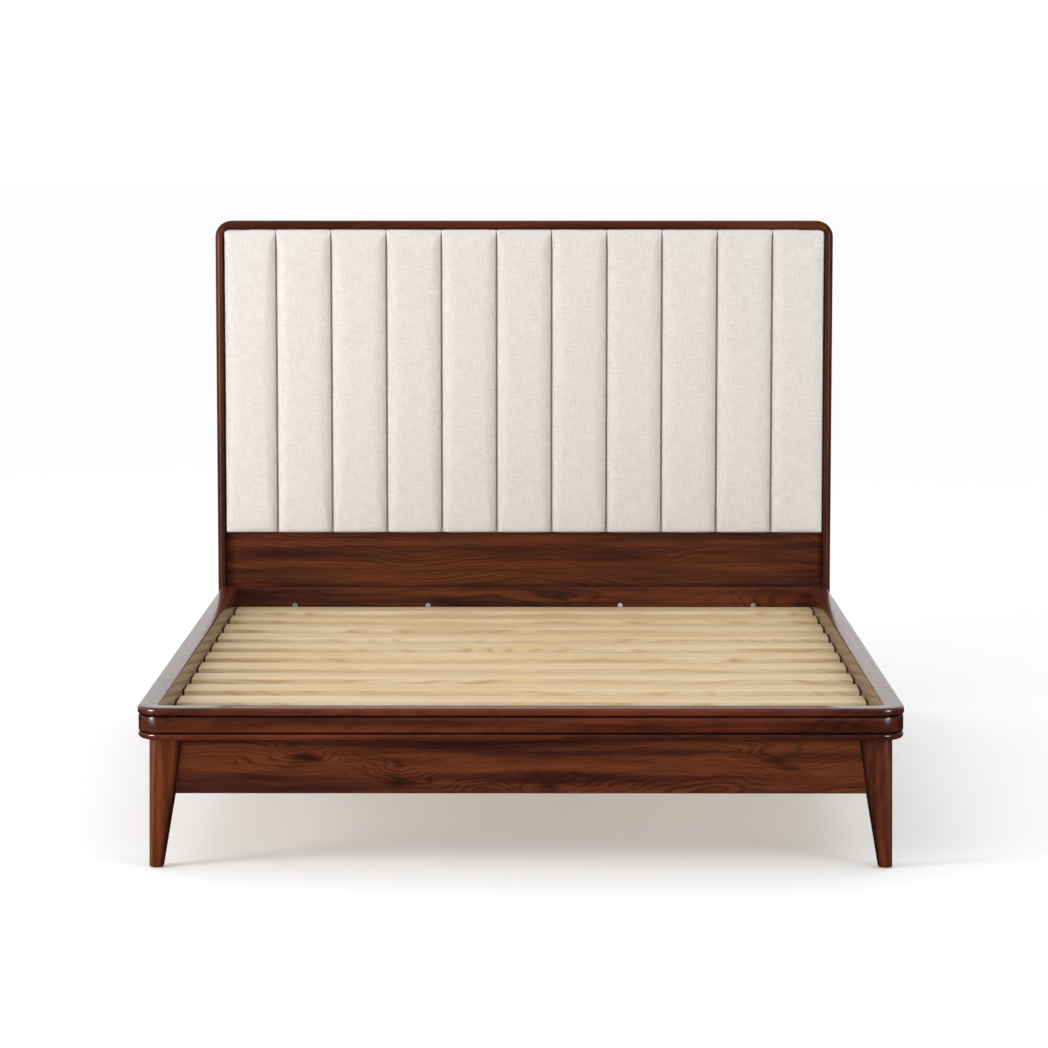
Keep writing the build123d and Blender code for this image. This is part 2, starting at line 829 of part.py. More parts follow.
save(headboard_top_rail(), "headboard_top_rail")
save(headboard_stile_right(), "headboard_stile_right")
save(other_side(headboard_stile_right()), "headboard_stile_left")
save(headboard_bottom_rail(), "headboard_bottom_rail")
save(headboard_lower_board(), "headboard_lower_board")
save(headboard_back_panel(), "headboard_back_panel")
save(upholstery_board(), "upholstery_board")
for number in range(channel_count):
    save(channel_pad(number), f"channel_pad_{number + 1:02d}")

long_spots = both_sides(ledger_spots())
for y in slat_centres():
    long_spots += slat_spots(y)
save(Compound(children=screws(slat_screw_length, long_spots)), "slat_screws")

short_spots = both_sides(bracket_spots() + end_for_end(bracket_spots()))
short_spots += hanger_face_spots() + end_for_end(hanger_face_spots())
short_spots += hanger_side_spots() + end_for_end(hanger_side_spots())
short_spots += back_panel_spots()
save(Compound(children=screws(bracket_screw_length, short_spots)), "bracket_screws")

dowel_spots = rim_mitre_spots() + rim_head_spots() + foot_leg_spots() + head_leg_spots()
dowel_spots += frame_mitre_spots() + bottom_rail_spots() + lower_board_spots()
for y in centre_leg_places():
    dowel_spots += centre_leg_dowel_spots(y)
save(Compound(children=dowels(dowel_spots)), "dowels")
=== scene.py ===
from math import cos, pi, radians, sin

import bmesh
import bpy
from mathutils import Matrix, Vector, noise


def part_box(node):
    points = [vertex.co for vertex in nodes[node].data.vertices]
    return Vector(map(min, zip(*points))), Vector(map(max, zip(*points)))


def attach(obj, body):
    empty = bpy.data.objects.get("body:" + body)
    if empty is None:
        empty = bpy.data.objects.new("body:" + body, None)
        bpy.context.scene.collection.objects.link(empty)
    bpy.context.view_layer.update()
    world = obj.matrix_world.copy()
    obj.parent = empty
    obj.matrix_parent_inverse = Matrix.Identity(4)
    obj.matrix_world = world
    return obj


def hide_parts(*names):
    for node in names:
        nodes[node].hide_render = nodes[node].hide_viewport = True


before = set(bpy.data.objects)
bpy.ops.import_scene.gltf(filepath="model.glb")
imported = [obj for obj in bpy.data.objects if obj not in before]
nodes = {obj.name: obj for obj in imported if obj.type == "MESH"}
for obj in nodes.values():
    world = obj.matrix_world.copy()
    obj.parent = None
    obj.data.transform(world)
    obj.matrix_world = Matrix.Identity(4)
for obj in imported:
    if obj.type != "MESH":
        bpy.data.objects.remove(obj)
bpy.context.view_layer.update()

scene = bpy.context.scene


# Studio ---------------------------------------------------------------------------------------
# A pale floor that runs out of sight, a softbox on each side of the foot of the bed, a weaker one
# beside the headboard, and a white tent above and behind. The camera stands well back from the foot
# end, at the height of the eyes.

scene.view_settings.view_transform = "Standard"

eye = (0.033, -8.670, 1.540)
eye_pitch = 6.005
eye_turn = 0.196
lens = 123.8

camera = bpy.data.objects.new("camera", bpy.data.cameras.new("camera"))
scene.collection.objects.link(camera)
camera.location = eye
camera.rotation_euler = (radians(90 - eye_pitch), 0, radians(eye_turn))
camera.data.sensor_width = 36
camera.data.lens = lens
scene.camera = camera


def add(tree, kind, links=None, **settings):
    """A node with its settings; links gives its inputs a value or another node's output."""
    node = tree.nodes.new(kind)
    for key, value in settings.items():
        setattr(node, key, value)
    for key, value in (links or {}).items():
        if isinstance(value, bpy.types.NodeSocket):
            tree.links.new(value, node.inputs[key])
        else:
            node.inputs[key].default_value = value
    return node


def srgb(code):
    """An sRGB hex colour as the linear RGBA that nodes take."""
    parts = [int(code[i : i + 2], 16) / 255 for i in (1, 3, 5)]
    return [p / 12.92 if p <= 0.04045 else ((p + 0.055) / 1.055) ** 2.4 for p in parts] + [1.0]


def new_material(name):
    """An empty material and its node tree."""
    material = bpy.data.materials.new(name)
    material.use_nodes = True
    material.node_tree.nodes.clear()
    return material, material.node_tree


def surface(tree, inputs):
    """The principled shader with its inputs, wired to the material's output."""
    shader = add(tree, "ShaderNodeBsdfPrincipled", inputs)
    add(tree, "ShaderNodeOutputMaterial", {"Surface": shader.outputs[0]})
    return shader


def softbox(name, place, aim, size, power):
    """A diffused rectangular lamp, turned to what it is aimed at."""
    lamp = bpy.data.lights.new(name, "AREA")
    lamp.shape = "RECTANGLE"
    lamp.size, lamp.size_y = size
    lamp.energy = power
    box = bpy.data.objects.new(name, lamp)
    scene.collection.objects.link(box)
    box.location = place
    box.rotation_euler = (Vector(place) - Vector(aim)).to_track_quat("Z", "Y").to_euler()
    return box


key = softbox("key_softbox", (-5.3, -3.2, 1.4), (-0.4, -0.9, 0.5), (1.9, 2.4), 218)
key.visible_glossy = False
fill = softbox("fill_softbox", (4.3, -4.8, 1.5), (0.5, -0.9, 0.5), (1.6, 2.4), 60)
fill.visible_glossy = False
softbox("side_softbox", (-6.2, 0.1, 1.3), (0, 0.9, 0.8), (2.0, 2.4), 30)

# Two strong lamps that only show as glints on the mouldings.
glints = {"left_glint": ((-5.0, -3.9, 1.2), 1100), "right_glint": ((4.3, -4.8, 1.2), 560)}
for name, (spot, power) in glints.items():
    glint = softbox(name, spot, (0, -0.9, 0.4), (1.5, 1.4), power)
    glint.visible_diffuse = False

# Painted floor: matt, so it takes soft shadows and shows no reflection.
floor_mesh = bpy.data.meshes.new("floor")
extent = 80.0
floor_mesh.from_pydata(
    [(-extent, -extent, 0), (extent, -extent, 0), (extent, extent, 0), (-extent, extent, 0)],
    [],
    [(0, 1, 2, 3)],
)
floor = bpy.data.objects.new("floor", floor_mesh)
scene.collection.objects.link(floor)
material, tree = new_material("matt_white_floor_paint")
surface(tree, {"Base Color": srgb("#f8f8f8"), "Roughness": 0.9, "Specular IOR Level": 0.1})
floor.data.materials.append(material)
floor.visible_glossy = False

# The tent: bright overhead and behind the headboard, dim in front, dark under the floor.
world = bpy.data.worlds.new("tent")
world.use_nodes = True
scene.world = world
tree = world.node_tree
tree.nodes.clear()
heading = add(tree, "ShaderNodeTexCoord").outputs["Generated"]
look_at = add(tree, "ShaderNodeSeparateXYZ", {0: heading}).outputs
above = add(
    tree, "ShaderNodeMapRange", {0: look_at[2], 1: 0.05, 2: 0.55}, interpolation_type="SMOOTHSTEP"
)
behind = add(
    tree, "ShaderNodeMapRange", {0: look_at[1], 1: 0.0, 2: 0.6}, interpolation_type="SMOOTHSTEP"
)
either = add(tree, "ShaderNodeMath", {0: above.outputs[0], 1: behind.outputs[0]}, operation="MAXIMUM")
glow = add(tree, "ShaderNodeMapRange", {0: either.outputs[0], 3: 0.15, 4: 1.12})
upper = add(tree, "ShaderNodeMath", {0: look_at[2], 1: -0.01}, operation="GREATER_THAN")
tent = add(tree, "ShaderNodeMath", {0: glow.outputs[0], 1: upper.outputs[0]}, operation="MULTIPLY")
seen = add(tree, "ShaderNodeLightPath").outputs["Is Camera Ray"]
strength = add(tree, "ShaderNodeMath", {0: tent.outputs[0], 1: seen}, operation="MAXIMUM")
sky = add(tree, "ShaderNodeBackground", {0: srgb("#fdfdfd"), 1: strength.outputs[0]})
add(tree, "ShaderNodeOutputWorld", {0: sky.outputs[0]})


# Rim ------------------------------------------------------------------------------------------
# Three mitred lengths of solid hardwood moulding round the mattress, and a plain rail at the head.
# Each length has three beads with a groove between them and a flat ledge, and is dowelled at its
# mitre; it is stained red-brown and finished in satin lacquer.

mm = 0.001
rim_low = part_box("rim_foot")[0]
rim_side_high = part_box("rim_right")[1]
rim_half = rim_side_high.x
rim_corner = 58 * mm

# The rim's section, in millimetres in from its outer face and up from its underside.
lower_bead = 15.7
upper_bead = 18
rim_height = 70
ledge = 45
waist = rim_height - upper_bead
bead_groove = 4
groove_floor = bead_groove + 2
groove_half = 1.2
groove_shade = 2.5
lower_face = 1
under_round = 9
lip_round = 4.5
band_round = 2.5
nose_under = 4
nose_round = 6
ledge_edge = 3


def arc(centre, radius, start, sweep, steps):
    """Points along an arc, with its angles in degrees and both its ends."""
    turns = [radians(start + sweep * i / steps) for i in range(steps + 1)]
    return [(centre[0] + radius * cos(a), centre[1] + radius * sin(a)) for a in turns]


def link(name, mesh, material):
    """A finished mesh as a piece with one material."""
    piece = bpy.data.objects.new(name, mesh)
    scene.collection.objects.link(piece)
    mesh.materials.clear()
    mesh.materials.append(material)
    return piece


def tidy(mesh, corner=35):
    """Doubles merged, faces turned outwards, and smooth but for edges sharper than the corner."""
    work = bmesh.new()
    work.from_mesh(mesh)
    bmesh.ops.remove_doubles(work, verts=work.verts, dist=0.01 * mm)
    bmesh.ops.recalc_face_normals(work, faces=work.faces)
    work.to_mesh(mesh)
    work.free()
    mesh.shade_smooth()
    mesh.set_sharp_from_angle(angle=radians(corner))


def loft(name, rings, corner=35, painted_shade=None):
    """A closed skin over rings of the same number of points, with flat ends. Its last argument gives
    how much painted shade darkens each point of a ring, from 0 to 1."""
    count = len(rings[0])
    points = [point for ring in rings for point in ring]
    faces = [list(range(count)), list(range(len(points) - count, len(points)))]
    for i in range(len(rings) - 1):
        for j in range(count):
            k = (j + 1) % count
            faces.append([i * count + j, i * count + k, (i + 1) * count + k, (i + 1) * count + j])
    mesh = bpy.data.meshes.new(name)
    mesh.from_pydata(points, [], faces)
    if painted_shade:
        painted_shade_layer = mesh.attributes.new("painted_shade", "FLOAT", "POINT")
        painted_shade_layer.data.foreach_set("value", painted_shade * len(rings))
    tidy(mesh, corner)
    return mesh


grain_turns = {
    "X": (0, 0, 0),
    "Y": (0, 0, radians(-90)),
    "Z": (0, radians(90), 0),
}


def timber(name, grain, pith, look, seed=0.0, knots=()):
    """Solid wood whose grain runs along an axis. The rings of growth are tubes round a pith that
    wanders beside the board, so flat faces show arches, edges show lines and ends show rings.
    pith is where its middle passes, in the board's own along, across and through metres. knots are
    the places of knots on a board's face; without them, knots are scattered."""
    material, tree = new_material(name)
    place = add(tree, "ShaderNodeTexCoord").outputs["Object"]
    laid = {"Vector": place, "Location": pith, "Rotation": grain_turns[grain]}
    board = add(tree, "ShaderNodeMapping", laid).outputs[0]

    def figure(scale, detail=2.0, shift=0.0, roughness=0.5):
        """Noise drawn out along the grain; scale is how many features to a metre, both ways."""
        along, across = scale
        moved = (shift + seed, shift, seed)
        drawn = {"Vector": board, "Location": moved, "Scale": (along, across, across)}
        at = add(tree, "ShaderNodeMapping", drawn).outputs[0]
        inputs = {"Vector": at, "Scale": 1, "Detail": detail, "Roughness": roughness}
        return add(tree, "ShaderNodeTexNoise", inputs)

    soft = {"interpolation_type": "SMOOTHSTEP"}
    scaled_sum = {"operation": "MULTIPLY_ADD"}

    # The pith bends slowly along the trunk, and the rings waver a little more quickly.
    bend = figure((1.3, 2.0), 1.0).outputs["Color"]
    bending = {0: bend, 1: (0, look["bend"], look["bend"]), 2: board}
    bent = add(tree, "ShaderNodeVectorMath", bending, **scaled_sum).outputs[0]
    waver = figure((6, 26), 2.0, 3.0).outputs["Color"]
    wavering = {0: waver, 1: (0, look["waver"], look["waver"]), 2: bent}
    wavy = add(tree, "ShaderNodeVectorMath", wavering, **scaled_sum).outputs[0]
    across = add(tree, "ShaderNodeVectorMath", {0: wavy, 1: (0, 1, 1)}, operation="MULTIPLY").outputs[0]
    radius = add(tree, "ShaderNodeVectorMath", {0: across}, operation="LENGTH").outputs["Value"]

    # Knots: the rings swell round them. Distances from them are shorter along the grain.
    if knots:
        knot = 1.0
        for spot in knots:
            away = add(tree, "ShaderNodeVectorMath", {0: place, 1: spot}, operation="SUBTRACT").outputs[0]
            drawn = {0: away, 1: look["knots"]}
            stretched = add(tree, "ShaderNodeVectorMath", drawn, operation="MULTIPLY").outputs[0]
            wavering = {0: waver, 1: (0.5, 0.5, 0.5), 2: stretched}
            ragged = add(tree, "ShaderNodeVectorMath", wavering, **scaled_sum).outputs[0]
            offset = {0: ragged, 1: (0.25, 0.25, 0.25)}
            centred = add(tree, "ShaderNodeVectorMath", offset, operation="SUBTRACT").outputs[0]
            far = add(tree, "ShaderNodeVectorMath", {0: centred}, operation="LENGTH").outputs["Value"]
            knot = add(tree, "ShaderNodeMath", {0: far, 1: knot}, operation="MINIMUM").outputs[0]
    else:
        drawn = {"Vector": wavy, "Location": (seed, 0, 0), "Scale": look["knots"]}
        cells = add(tree, "ShaderNodeMapping", drawn).outputs[0]
        knot = add(tree, "ShaderNodeTexVoronoi", {"Vector": cells, "Scale": 1}).outputs["Distance"]
    near_knot = {0: knot, 1: 0.0, 2: 0.45, 3: 1.0, 4: 0.0}
    swell = add(tree, "ShaderNodeMapRange", near_knot, **soft).outputs[0]
    swelling = {0: swell, 1: look["swell"], 2: radius}
    radius = add(tree, "ShaderNodeMath", swelling, **scaled_sum).outputs[0]

    # Growth is uneven: some years are twice as wide as others.
    years = add(tree, "ShaderNodeMath", {0: radius, 1: 1 / look["ring"]}, operation="MULTIPLY").outputs[0]
    slow = add(tree, "ShaderNodeMath", {0: years, 1: 0.35, 2: seed}, **scaled_sum).outputs[0]
    weather = {"W": slow, "Scale": 1, "Detail": 1}
    uneven = add(tree, "ShaderNodeTexNoise", weather, noise_dimensions="1D").outputs[0]
    years = add(tree, "ShaderNodeMath", {0: uneven, 1: 1.6, 2: years}, **scaled_sum).outputs[0]
    year = add(tree, "ShaderNodeMath", {0: years}, operation="FRACT").outputs[0]

    # A year's wood starts pale and darkens slowly to a hard late line.
    late = add(tree, "ShaderNodeValToRGB", {0: year})
    ramp = late.color_ramp
    for place_on, level in ((0.0, 0.45), (0.14, 0.0), (0.6, 0.22), (0.88, 1.0)):
        stop = ramp.elements.new(place_on) if 0 < place_on < 1 else ramp.elements[0]
        stop.color = (level, level, level, 1)
    ramp.elements[-1].color = (0.45, 0.45, 0.45, 1)

    patch = figure((2.2, 16), 2.0, 5.0).outputs[0]
    patches = {0: patch, 1: 0.32, 2: 0.68, 3: look["faint"], 4: look["bold"]}
    clear = add(tree, "ShaderNodeMapRange", patches, **soft).outputs[0]
    lines = add(tree, "ShaderNodeMath", {0: late.outputs[0], 1: clear}, operation="MULTIPLY").outputs[0]
    streaks = {0: figure((1.6, 30), 4.0, 7.0, 0.6).outputs[0], 1: 0.33, 2: 0.67}
    streak = add(tree, "ShaderNodeMapRange", streaks, **soft).outputs[0]
    fibre = figure((28, 620), 2.0, 9.0, 0.6).outputs[0]
    pits = {0: figure((60, 1100), 1.0, 11.0).outputs[0], 1: 0.62, 2: 0.72}
    pores = add(tree, "ShaderNodeMapRange", pits, **soft).outputs[0]
    in_knot = {0: knot, 1: 0.02, 2: 0.16, 3: 0.85, 4: 0.0}
    heart = add(tree, "ShaderNodeMapRange", in_knot, **soft).outputs[0]

    # Over the deep ground lie warm streaks, late wood and knots, and last the painted shade that the
    # mesh marks in grooves and crevices, which darkens the colour and takes the shine off the lacquer.
    coats = [(streak, "warm"), (lines, "line"), (heart, "knot")]
    specular = look["specular"]
    if "painted_shade" in look:
        painted_shade_layer = add(tree, "ShaderNodeAttribute", attribute_name="painted_shade").outputs["Fac"]
        share = {0: painted_shade_layer, 1: look["painted_shade"]}
        painted_shade_level = add(tree, "ShaderNodeMath", share, operation="MULTIPLY").outputs[0]
        coats.append((painted_shade_level, "line"))
        dulled = {0: painted_shade_level, 1: 0.0, 2: 0.7, 3: specular, 4: 0.1 * specular}
        specular = add(tree, "ShaderNodeMapRange", dulled).outputs[0]
    toned = srgb(look["deep"])
    for share, stain in coats:
        colours = {0: share, 6: toned, 7: srgb(look[stain])}
        toned = add(tree, "ShaderNodeMix", colours, data_type="RGBA").outputs[2]
    fibres = {0: fibre, 1: 0.3, 2: 0.7, 3: 1 - look["fibre"], 4: 1 + look["fibre"]}
    shade = add(tree, "ShaderNodeMapRange", fibres, **soft).outputs[0]
    pitted = {0: pores, 1: -look["pores"], 2: shade}
    porous = add(tree, "ShaderNodeMath", pitted, **scaled_sum).outputs[0]
    colour = add(tree, "ShaderNodeVectorMath", {0: toned, "Scale": porous}, operation="SCALE").outputs[0]

    raised = add(tree, "ShaderNodeMath", {0: lines, 1: -0.4, 2: fibre}, **scaled_sum).outputs[0]
    relief = add(tree, "ShaderNodeMath", {0: pores, 1: -0.8, 2: raised}, **scaled_sum).outputs[0]
    bumps = {"Strength": look["relief"], "Distance": 0.3 * mm, "Height": relief}
    bump = add(tree, "ShaderNodeBump", bumps).outputs[0]
    sheen = {0: fibre, 1: 0.3, 2: 0.7, 3: look["gloss"] - 0.04, 4: look["gloss"] + 0.05}
    roughness = add(tree, "ShaderNodeMapRange", sheen, **soft).outputs[0]
    inputs = {"Base Color": colour, "Roughness": roughness, "Specular IOR Level": specular}
    surface(tree, {**inputs, "IOR": 1.5, "Normal": bump})
    return material


# Open-grained hardwood, spirit-stained and sprayed with satin lacquer: red-brown ground with darker,
# slightly purple late wood, warm streaks, and a smooth coat that mirrors only at low angles.
stained = {
    "deep": "#371710",
    "warm": "#69341a",
    "line": "#1b0a07",
    "knot": "#150906",
    "ring": 9.0 * mm,
    "bend": 0.22,
    "waver": 0.02,
    "knots": (2.6, 5.5, 5.5),
    "swell": 0.045,
    "faint": 0.15,
    "bold": 0.75,
    "fibre": 0.12,
    "pores": 0.25,
    "relief": 0.12,
    "gloss": 0.2,
    "specular": 0.2,
}

# The mouldings are sanded and rubbed down more than the boards, so they mirror the lamps sharply,
# and painted shade darkens their grooves.
rubbed = dict(
    stained,
    deep="#35160d",
    warm="#5f2c19",
    bold=0.5,
    relief=0.02,
    gloss=0.19,
    specular=0.2,
    painted_shade=0.9,
)

rim_profile = (
    [(ledge, 0)]
    + arc((lower_face + under_round, under_round), under_round, 270, -90, 8)
    + arc((lower_face + lip_round, lower_bead - lip_round - groove_half), lip_round, 180, -90, 6)
    + [(groove_floor, lower_bead - groove_half), (groove_floor, lower_bead + groove_half)]
    + arc((bead_groove, lower_bead + band_round + groove_half), band_round, 270, -90, 4)
    + arc((bead_groove, waist - band_round - groove_half), band_round, 180, -90, 4)
    + [(groove_floor, waist - groove_half), (groove_floor, waist + groove_half)]
    + arc((bead_groove, waist + nose_under + groove_half), nose_under, 270, -90, 5)
    + arc((nose_round, rim_height - nose_round), nose_round, 180, -90, 6)
    + arc((ledge - ledge_edge, rim_height - ledge_edge), ledge_edge, 90, -90, 4)
)
corner_steps = 18
# Painted shade: darkest in each groove, fading out over groove_shade millimetres from it.
rim_painted_shade = []
for inset, height in rim_profile:
    away = max(0.0, min(abs(height - lower_bead), abs(height - waist)) - groove_half)
    rim_painted_shade.append(max(0.0, 1 - away / groove_shade) if inset < ledge / 2 else 0.0)


def rim_turn(side, degrees):
    """The section at an angle round a foot corner: 0 is the foot face, 90 the side face."""
    turn = radians(degrees)
    x, y = rim_half - rim_corner, rim_low.y + rim_corner
    ring = []
    for inset, height in rim_profile:
        out = rim_corner - inset * mm
        ring.append((side * (x + out * sin(turn)), y - out * cos(turn), rim_low.z + height * mm))
    return ring


def rim_end(side, y):
    """The section of a side length, square to it."""
    return [(side * (rim_half - inset * mm), y, rim_low.z + height * mm) for inset, height in rim_profile]


half_turn = [45 * i / corner_steps for i in range(corner_steps + 1)]
foot_rings = [rim_turn(-1, a) for a in reversed(half_turn)] + [rim_turn(1, a) for a in half_turn]
rim_foot = link(
    "foot_rim",
    loft("foot_rim", foot_rings, painted_shade=rim_painted_shade),
    timber("stained_hardwood_foot_rim", "X", (0.2, 0.075, -0.345), rubbed, 2.0),
)
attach(rim_foot, "bed_frame")
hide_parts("rim_foot")

side_rim_wood = timber("stained_hardwood_side_rims", "Y", (0.0, 0.9, -0.30), rubbed, 5.0)
for side, name in ((1, "right"), (-1, "left")):
    rings = [rim_turn(side, 90 - a) for a in reversed(half_turn)] + [rim_end(side, rim_side_high.y)]
    mesh = loft(f"{name}_rim", rings, painted_shade=rim_painted_shade)
    piece = link(f"{name}_rim", mesh, side_rim_wood)
    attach(piece, "bed_frame")
    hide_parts(f"rim_{name}")


def finish_nodes(material, *names):
    """The material on CAD nodes whose shape already serves."""
    for name in names:
        nodes[name].data.materials.clear()
        nodes[name].data.materials.append(material)


finish_nodes(timber("stained_hardwood_head_rim", "X", (0.4, -0.9, -0.40), stained, 8.0), "rim_head")


# Aprons ---------------------------------------------------------------------------------------
# Plain boards of the same hardwood under the rim, housed in the legs and held by steel corner
# brackets. The foot apron is flat-sawn, with arches and a few knots across its face.

apron_low, apron_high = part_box("apron_foot")
foot_knots = [
    (x, apron_low.y, apron_low.z + share * (apron_high.z - apron_low.z))
    for x, share in ((-0.47, 0.62), (-0.26, 0.25), (0.09, 0.02), (0.58, 0.5))
]
foot_apron_wood = timber(
    "stained_hardwood_foot_apron", "X", (0.0, 0.94, -0.26), stained, 11.0, foot_knots
)
finish_nodes(foot_apron_wood, "apron_foot")
finish_nodes(timber("stained_hardwood_head_apron", "X", (0.7, -1.07, -0.25), stained, 14.0), "apron_head")
finish_nodes(
    timber("stained_hardwood_side_aprons", "Y", (0.3, 0.72, -0.21), dict(stained, bend=0.1), 17.0),
    "apron_left",
    "apron_right",
)


# Legs -----------------------------------------------------------------------------------------
# Four tapers of solid hardwood: a rounded square that narrows on its inner faces down to a small
# rounded foot, dowelled up into the rim and drawn to the corner brackets by hanger bolts.

leg_top = 74 * mm
leg_foot = 30 * mm
leg_top_round = 20 * mm
leg_foot_round = 9 * mm
leg_foot_edge = 3 * mm
leg_top_inset = 25.5 * mm
leg_foot_inset = 24 * mm
corner_points = 8
edge_steps = 4
leg_levels = 8


def leg_ring(share, height, shrink, along, end):
    """The leg's outline at a share of its height; along and end are the sides its corner is on."""
    width = leg_foot + (leg_top - leg_foot) * share
    corner = leg_foot_round + (leg_top_round - leg_foot_round) * share
    inset = leg_foot_inset + (leg_top_inset - leg_foot_inset) * share
    x = rim_half - inset - width / 2
    flat = width / 2 - corner
    ring = []
    for quarter in range(4):
        a = quarter * 90
        px, py = cos(radians(a + 45)), sin(radians(a + 45))
        centre = (flat if px > 0 else -flat, flat if py > 0 else -flat)
        ring += arc(centre, corner - shrink, a, 90, corner_points)
    edge = rim_low.y if end < 0 else rim_side_high.y
    y = edge - end * (inset + width / 2)
    return [(along * (x + u), y - end * v, height) for u, v in ring]


# Straight-grained and stained more orange than the boards, the orange partly painted light from the lamps
# on the left.
straight = dict(
    stained,
    deep="#45200f",
    warm="#783916",
    ring=13 * mm,
    faint=0.1,
    bold=0.4,
    relief=0.04,
    gloss=0.3,
    specular=0.09,
    painted_shade=0.85,
)
# Painted shade on the two rounded corners beside the aprons, darkest at the aprons, where the crevice is
# in shadow.
rising = [min(1.0, 1.6 * i / corner_points) for i in range(corner_points + 1)]
clean = [0.0] * (corner_points + 1)
leg_painted_shade = rising + clean + rising[::-1] + clean
leg_low, leg_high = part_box("leg_foot_right")
leg_height = leg_high.z - leg_low.z
for end_name, end in (("foot", -1), ("head", 1)):
    for side_name, along in (("left", -1), ("right", 1)):
        rings = []
        for i in range(edge_steps + 1):
            a = radians(90 * i / edge_steps)
            height = leg_foot_edge * (1 - cos(a))
            shrink = leg_foot_edge * (1 - sin(a))
            rings.append(leg_ring(height / leg_height, leg_low.z + height, shrink, along, end))
        for i in range(1, leg_levels + 1):
            share = i / leg_levels
            rings.append(leg_ring(share, leg_low.z + share * leg_height, 0, along, end))
        wood = timber(
            f"stained_hardwood_{end_name}_leg_{side_name}",
            "Z",
            (0.1, 1.16 if end < 0 else -0.95, 0.74 * along),
            # The right-hand legs take a darker copy of the stain: painted shade, for the side away from
            # the lamps.
            straight if along < 0 else dict(straight, deep="#3a190e", warm="#612c17"),
            20.0 + 3 * along + 7 * end,
        )
        piece = link(
            f"{end_name}_leg_{side_name}", loft("leg", rings, 50, leg_painted_shade), wood
        )
        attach(piece, "bed_frame")
        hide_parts(f"leg_{end_name}_{side_name}")


# Slats, ledgers and centre beam ---------------------------------------------------------------
# Planed pine, left bare. Twelve slats with eased edges lie on ledgers screwed inside the side
# aprons and on a beam down the middle, which stands on two short legs.

# Pine: a pale honey ground with close brown late wood, small knots, and no shine but a planer's.
planed = {
    "deep": "#cdb48a",
    "warm": "#dac6a2",
    "line": "#bb9a6b",
    "knot": "#7a5232",
    "ring": 3.6 * mm,
    "bend": 0.05,
    "waver": 0.004,
    "knots": (1.6, 9.0, 9.0),
    "swell": 0.01,
    "faint": 0.35,
    "bold": 1.0,
    "fibre": 0.05,
    "pores": 0.04,
    "relief": 0.15,
    "gloss": 0.52,
    "specular": 0.4,
}
slat_pine = timber("planed_pine_slats", "X", (0.0, 0.2, -0.35), planed, 4.0)
finish_nodes(
    timber("planed_pine_lengths", "Y", (0.3, 0.05, -0.30), planed, 6.0),
    "centre_beam",
    "ledger_left",
    "ledger_right",
)
finish_nodes(
    timber("planed_pine_posts", "Z", (0.0, 0.1, 0.06), planed, 9.0),
    "centre_leg_front",
    "centre_leg_rear",
)


def new_tree(name, inputs):
    """A Geometry Nodes tree with named inputs, which takes and gives geometry."""
    tree = bpy.data.node_groups.new(name, "GeometryNodeTree")
    tree.interface.new_socket("Geometry", in_out="INPUT", socket_type="NodeSocketGeometry")
    for label, kind in inputs.items():
        tree.interface.new_socket(label, in_out="INPUT", socket_type=kind)
    tree.interface.new_socket("Geometry", in_out="OUTPUT", socket_type="NodeSocketGeometry")
    return tree, tree.nodes.new("NodeGroupInput").outputs


def finish_tree(tree, instances, material):
    """The end of a tree: instances made real, with their material."""
    real = add(tree, "GeometryNodeRealizeInstances", {0: instances})
    painted = add(tree, "GeometryNodeSetMaterial", {"Geometry": real.outputs[0], "Material": material})
    add(tree, "NodeGroupOutput", {0: painted.outputs[0]})


def grow(name, start, tree, values, material):
    """A plain mesh piece from a tree run on a start mesh with the given input values."""
    holder = bpy.data.objects.new(name, start)
    scene.collection.objects.link(holder)
    modifier = holder.modifiers.new(name, "NODES")
    modifier.node_group = tree
    for socket in tree.interface.items_tree:
        if socket.in_out == "INPUT" and socket.name in values:
            modifier[socket.identifier] = values[socket.name]
    evaluated = holder.evaluated_get(bpy.context.evaluated_depsgraph_get())
    mesh = bpy.data.meshes.new_from_object(evaluated)
    holder.modifiers.remove(modifier)
    bpy.data.objects.remove(holder)
    tidy(mesh)
    return link(name, mesh, material)


first_low, first_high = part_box("slat_01")
last_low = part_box("slat_12")[0]
slat_names = [f"slat_{i:02d}" for i in range(1, 13)]
pitch = (last_low.y - first_low.y) / (len(slat_names) - 1)
slat_edge = 2.5 * mm
tree, given = new_tree(
    "slat_row",
    {
        "Count": "NodeSocketInt",
        **dict.fromkeys(("Pitch", "Length", "Width", "Thickness", "Edge"), "NodeSocketFloat"),
        "First": "NodeSocketVector",
        "Material": "NodeSocketMaterial",
    },
)
section_size = {"Width": given["Width"], "Height": given["Thickness"]}
section = add(tree, "GeometryNodeCurvePrimitiveQuadrilateral", section_size)
easing = {"Curve": section.outputs[0], "Radius": given["Edge"], "Count": 3}
eased = add(tree, "GeometryNodeFilletCurve", easing, mode="POLY")
half = add(tree, "ShaderNodeMath", {0: given["Length"], 1: 0.5}, operation="MULTIPLY").outputs[0]
right_end = add(tree, "ShaderNodeCombineXYZ", {0: half}).outputs[0]
left_end = add(tree, "ShaderNodeVectorMath", {0: right_end, "Scale": -1}, operation="SCALE").outputs[0]
length = add(tree, "GeometryNodeCurvePrimitiveLine", {"Start": left_end, "End": right_end})
swept = {"Curve": length.outputs[0], "Profile Curve": eased.outputs[0], "Fill Caps": True}
board = add(tree, "GeometryNodeCurveToMesh", swept)
step = add(tree, "ShaderNodeCombineXYZ", {1: given["Pitch"]}).outputs[0]
spaced = {"Count": given["Count"], "Start Location": given["First"], "Offset": step}
row = add(tree, "GeometryNodeMeshLine", spaced)
laid = {"Points": row.outputs[0], "Instance": board.outputs[0]}
boards = add(tree, "GeometryNodeInstanceOnPoints", laid)
finish_tree(tree, boards.outputs[0], given["Material"])
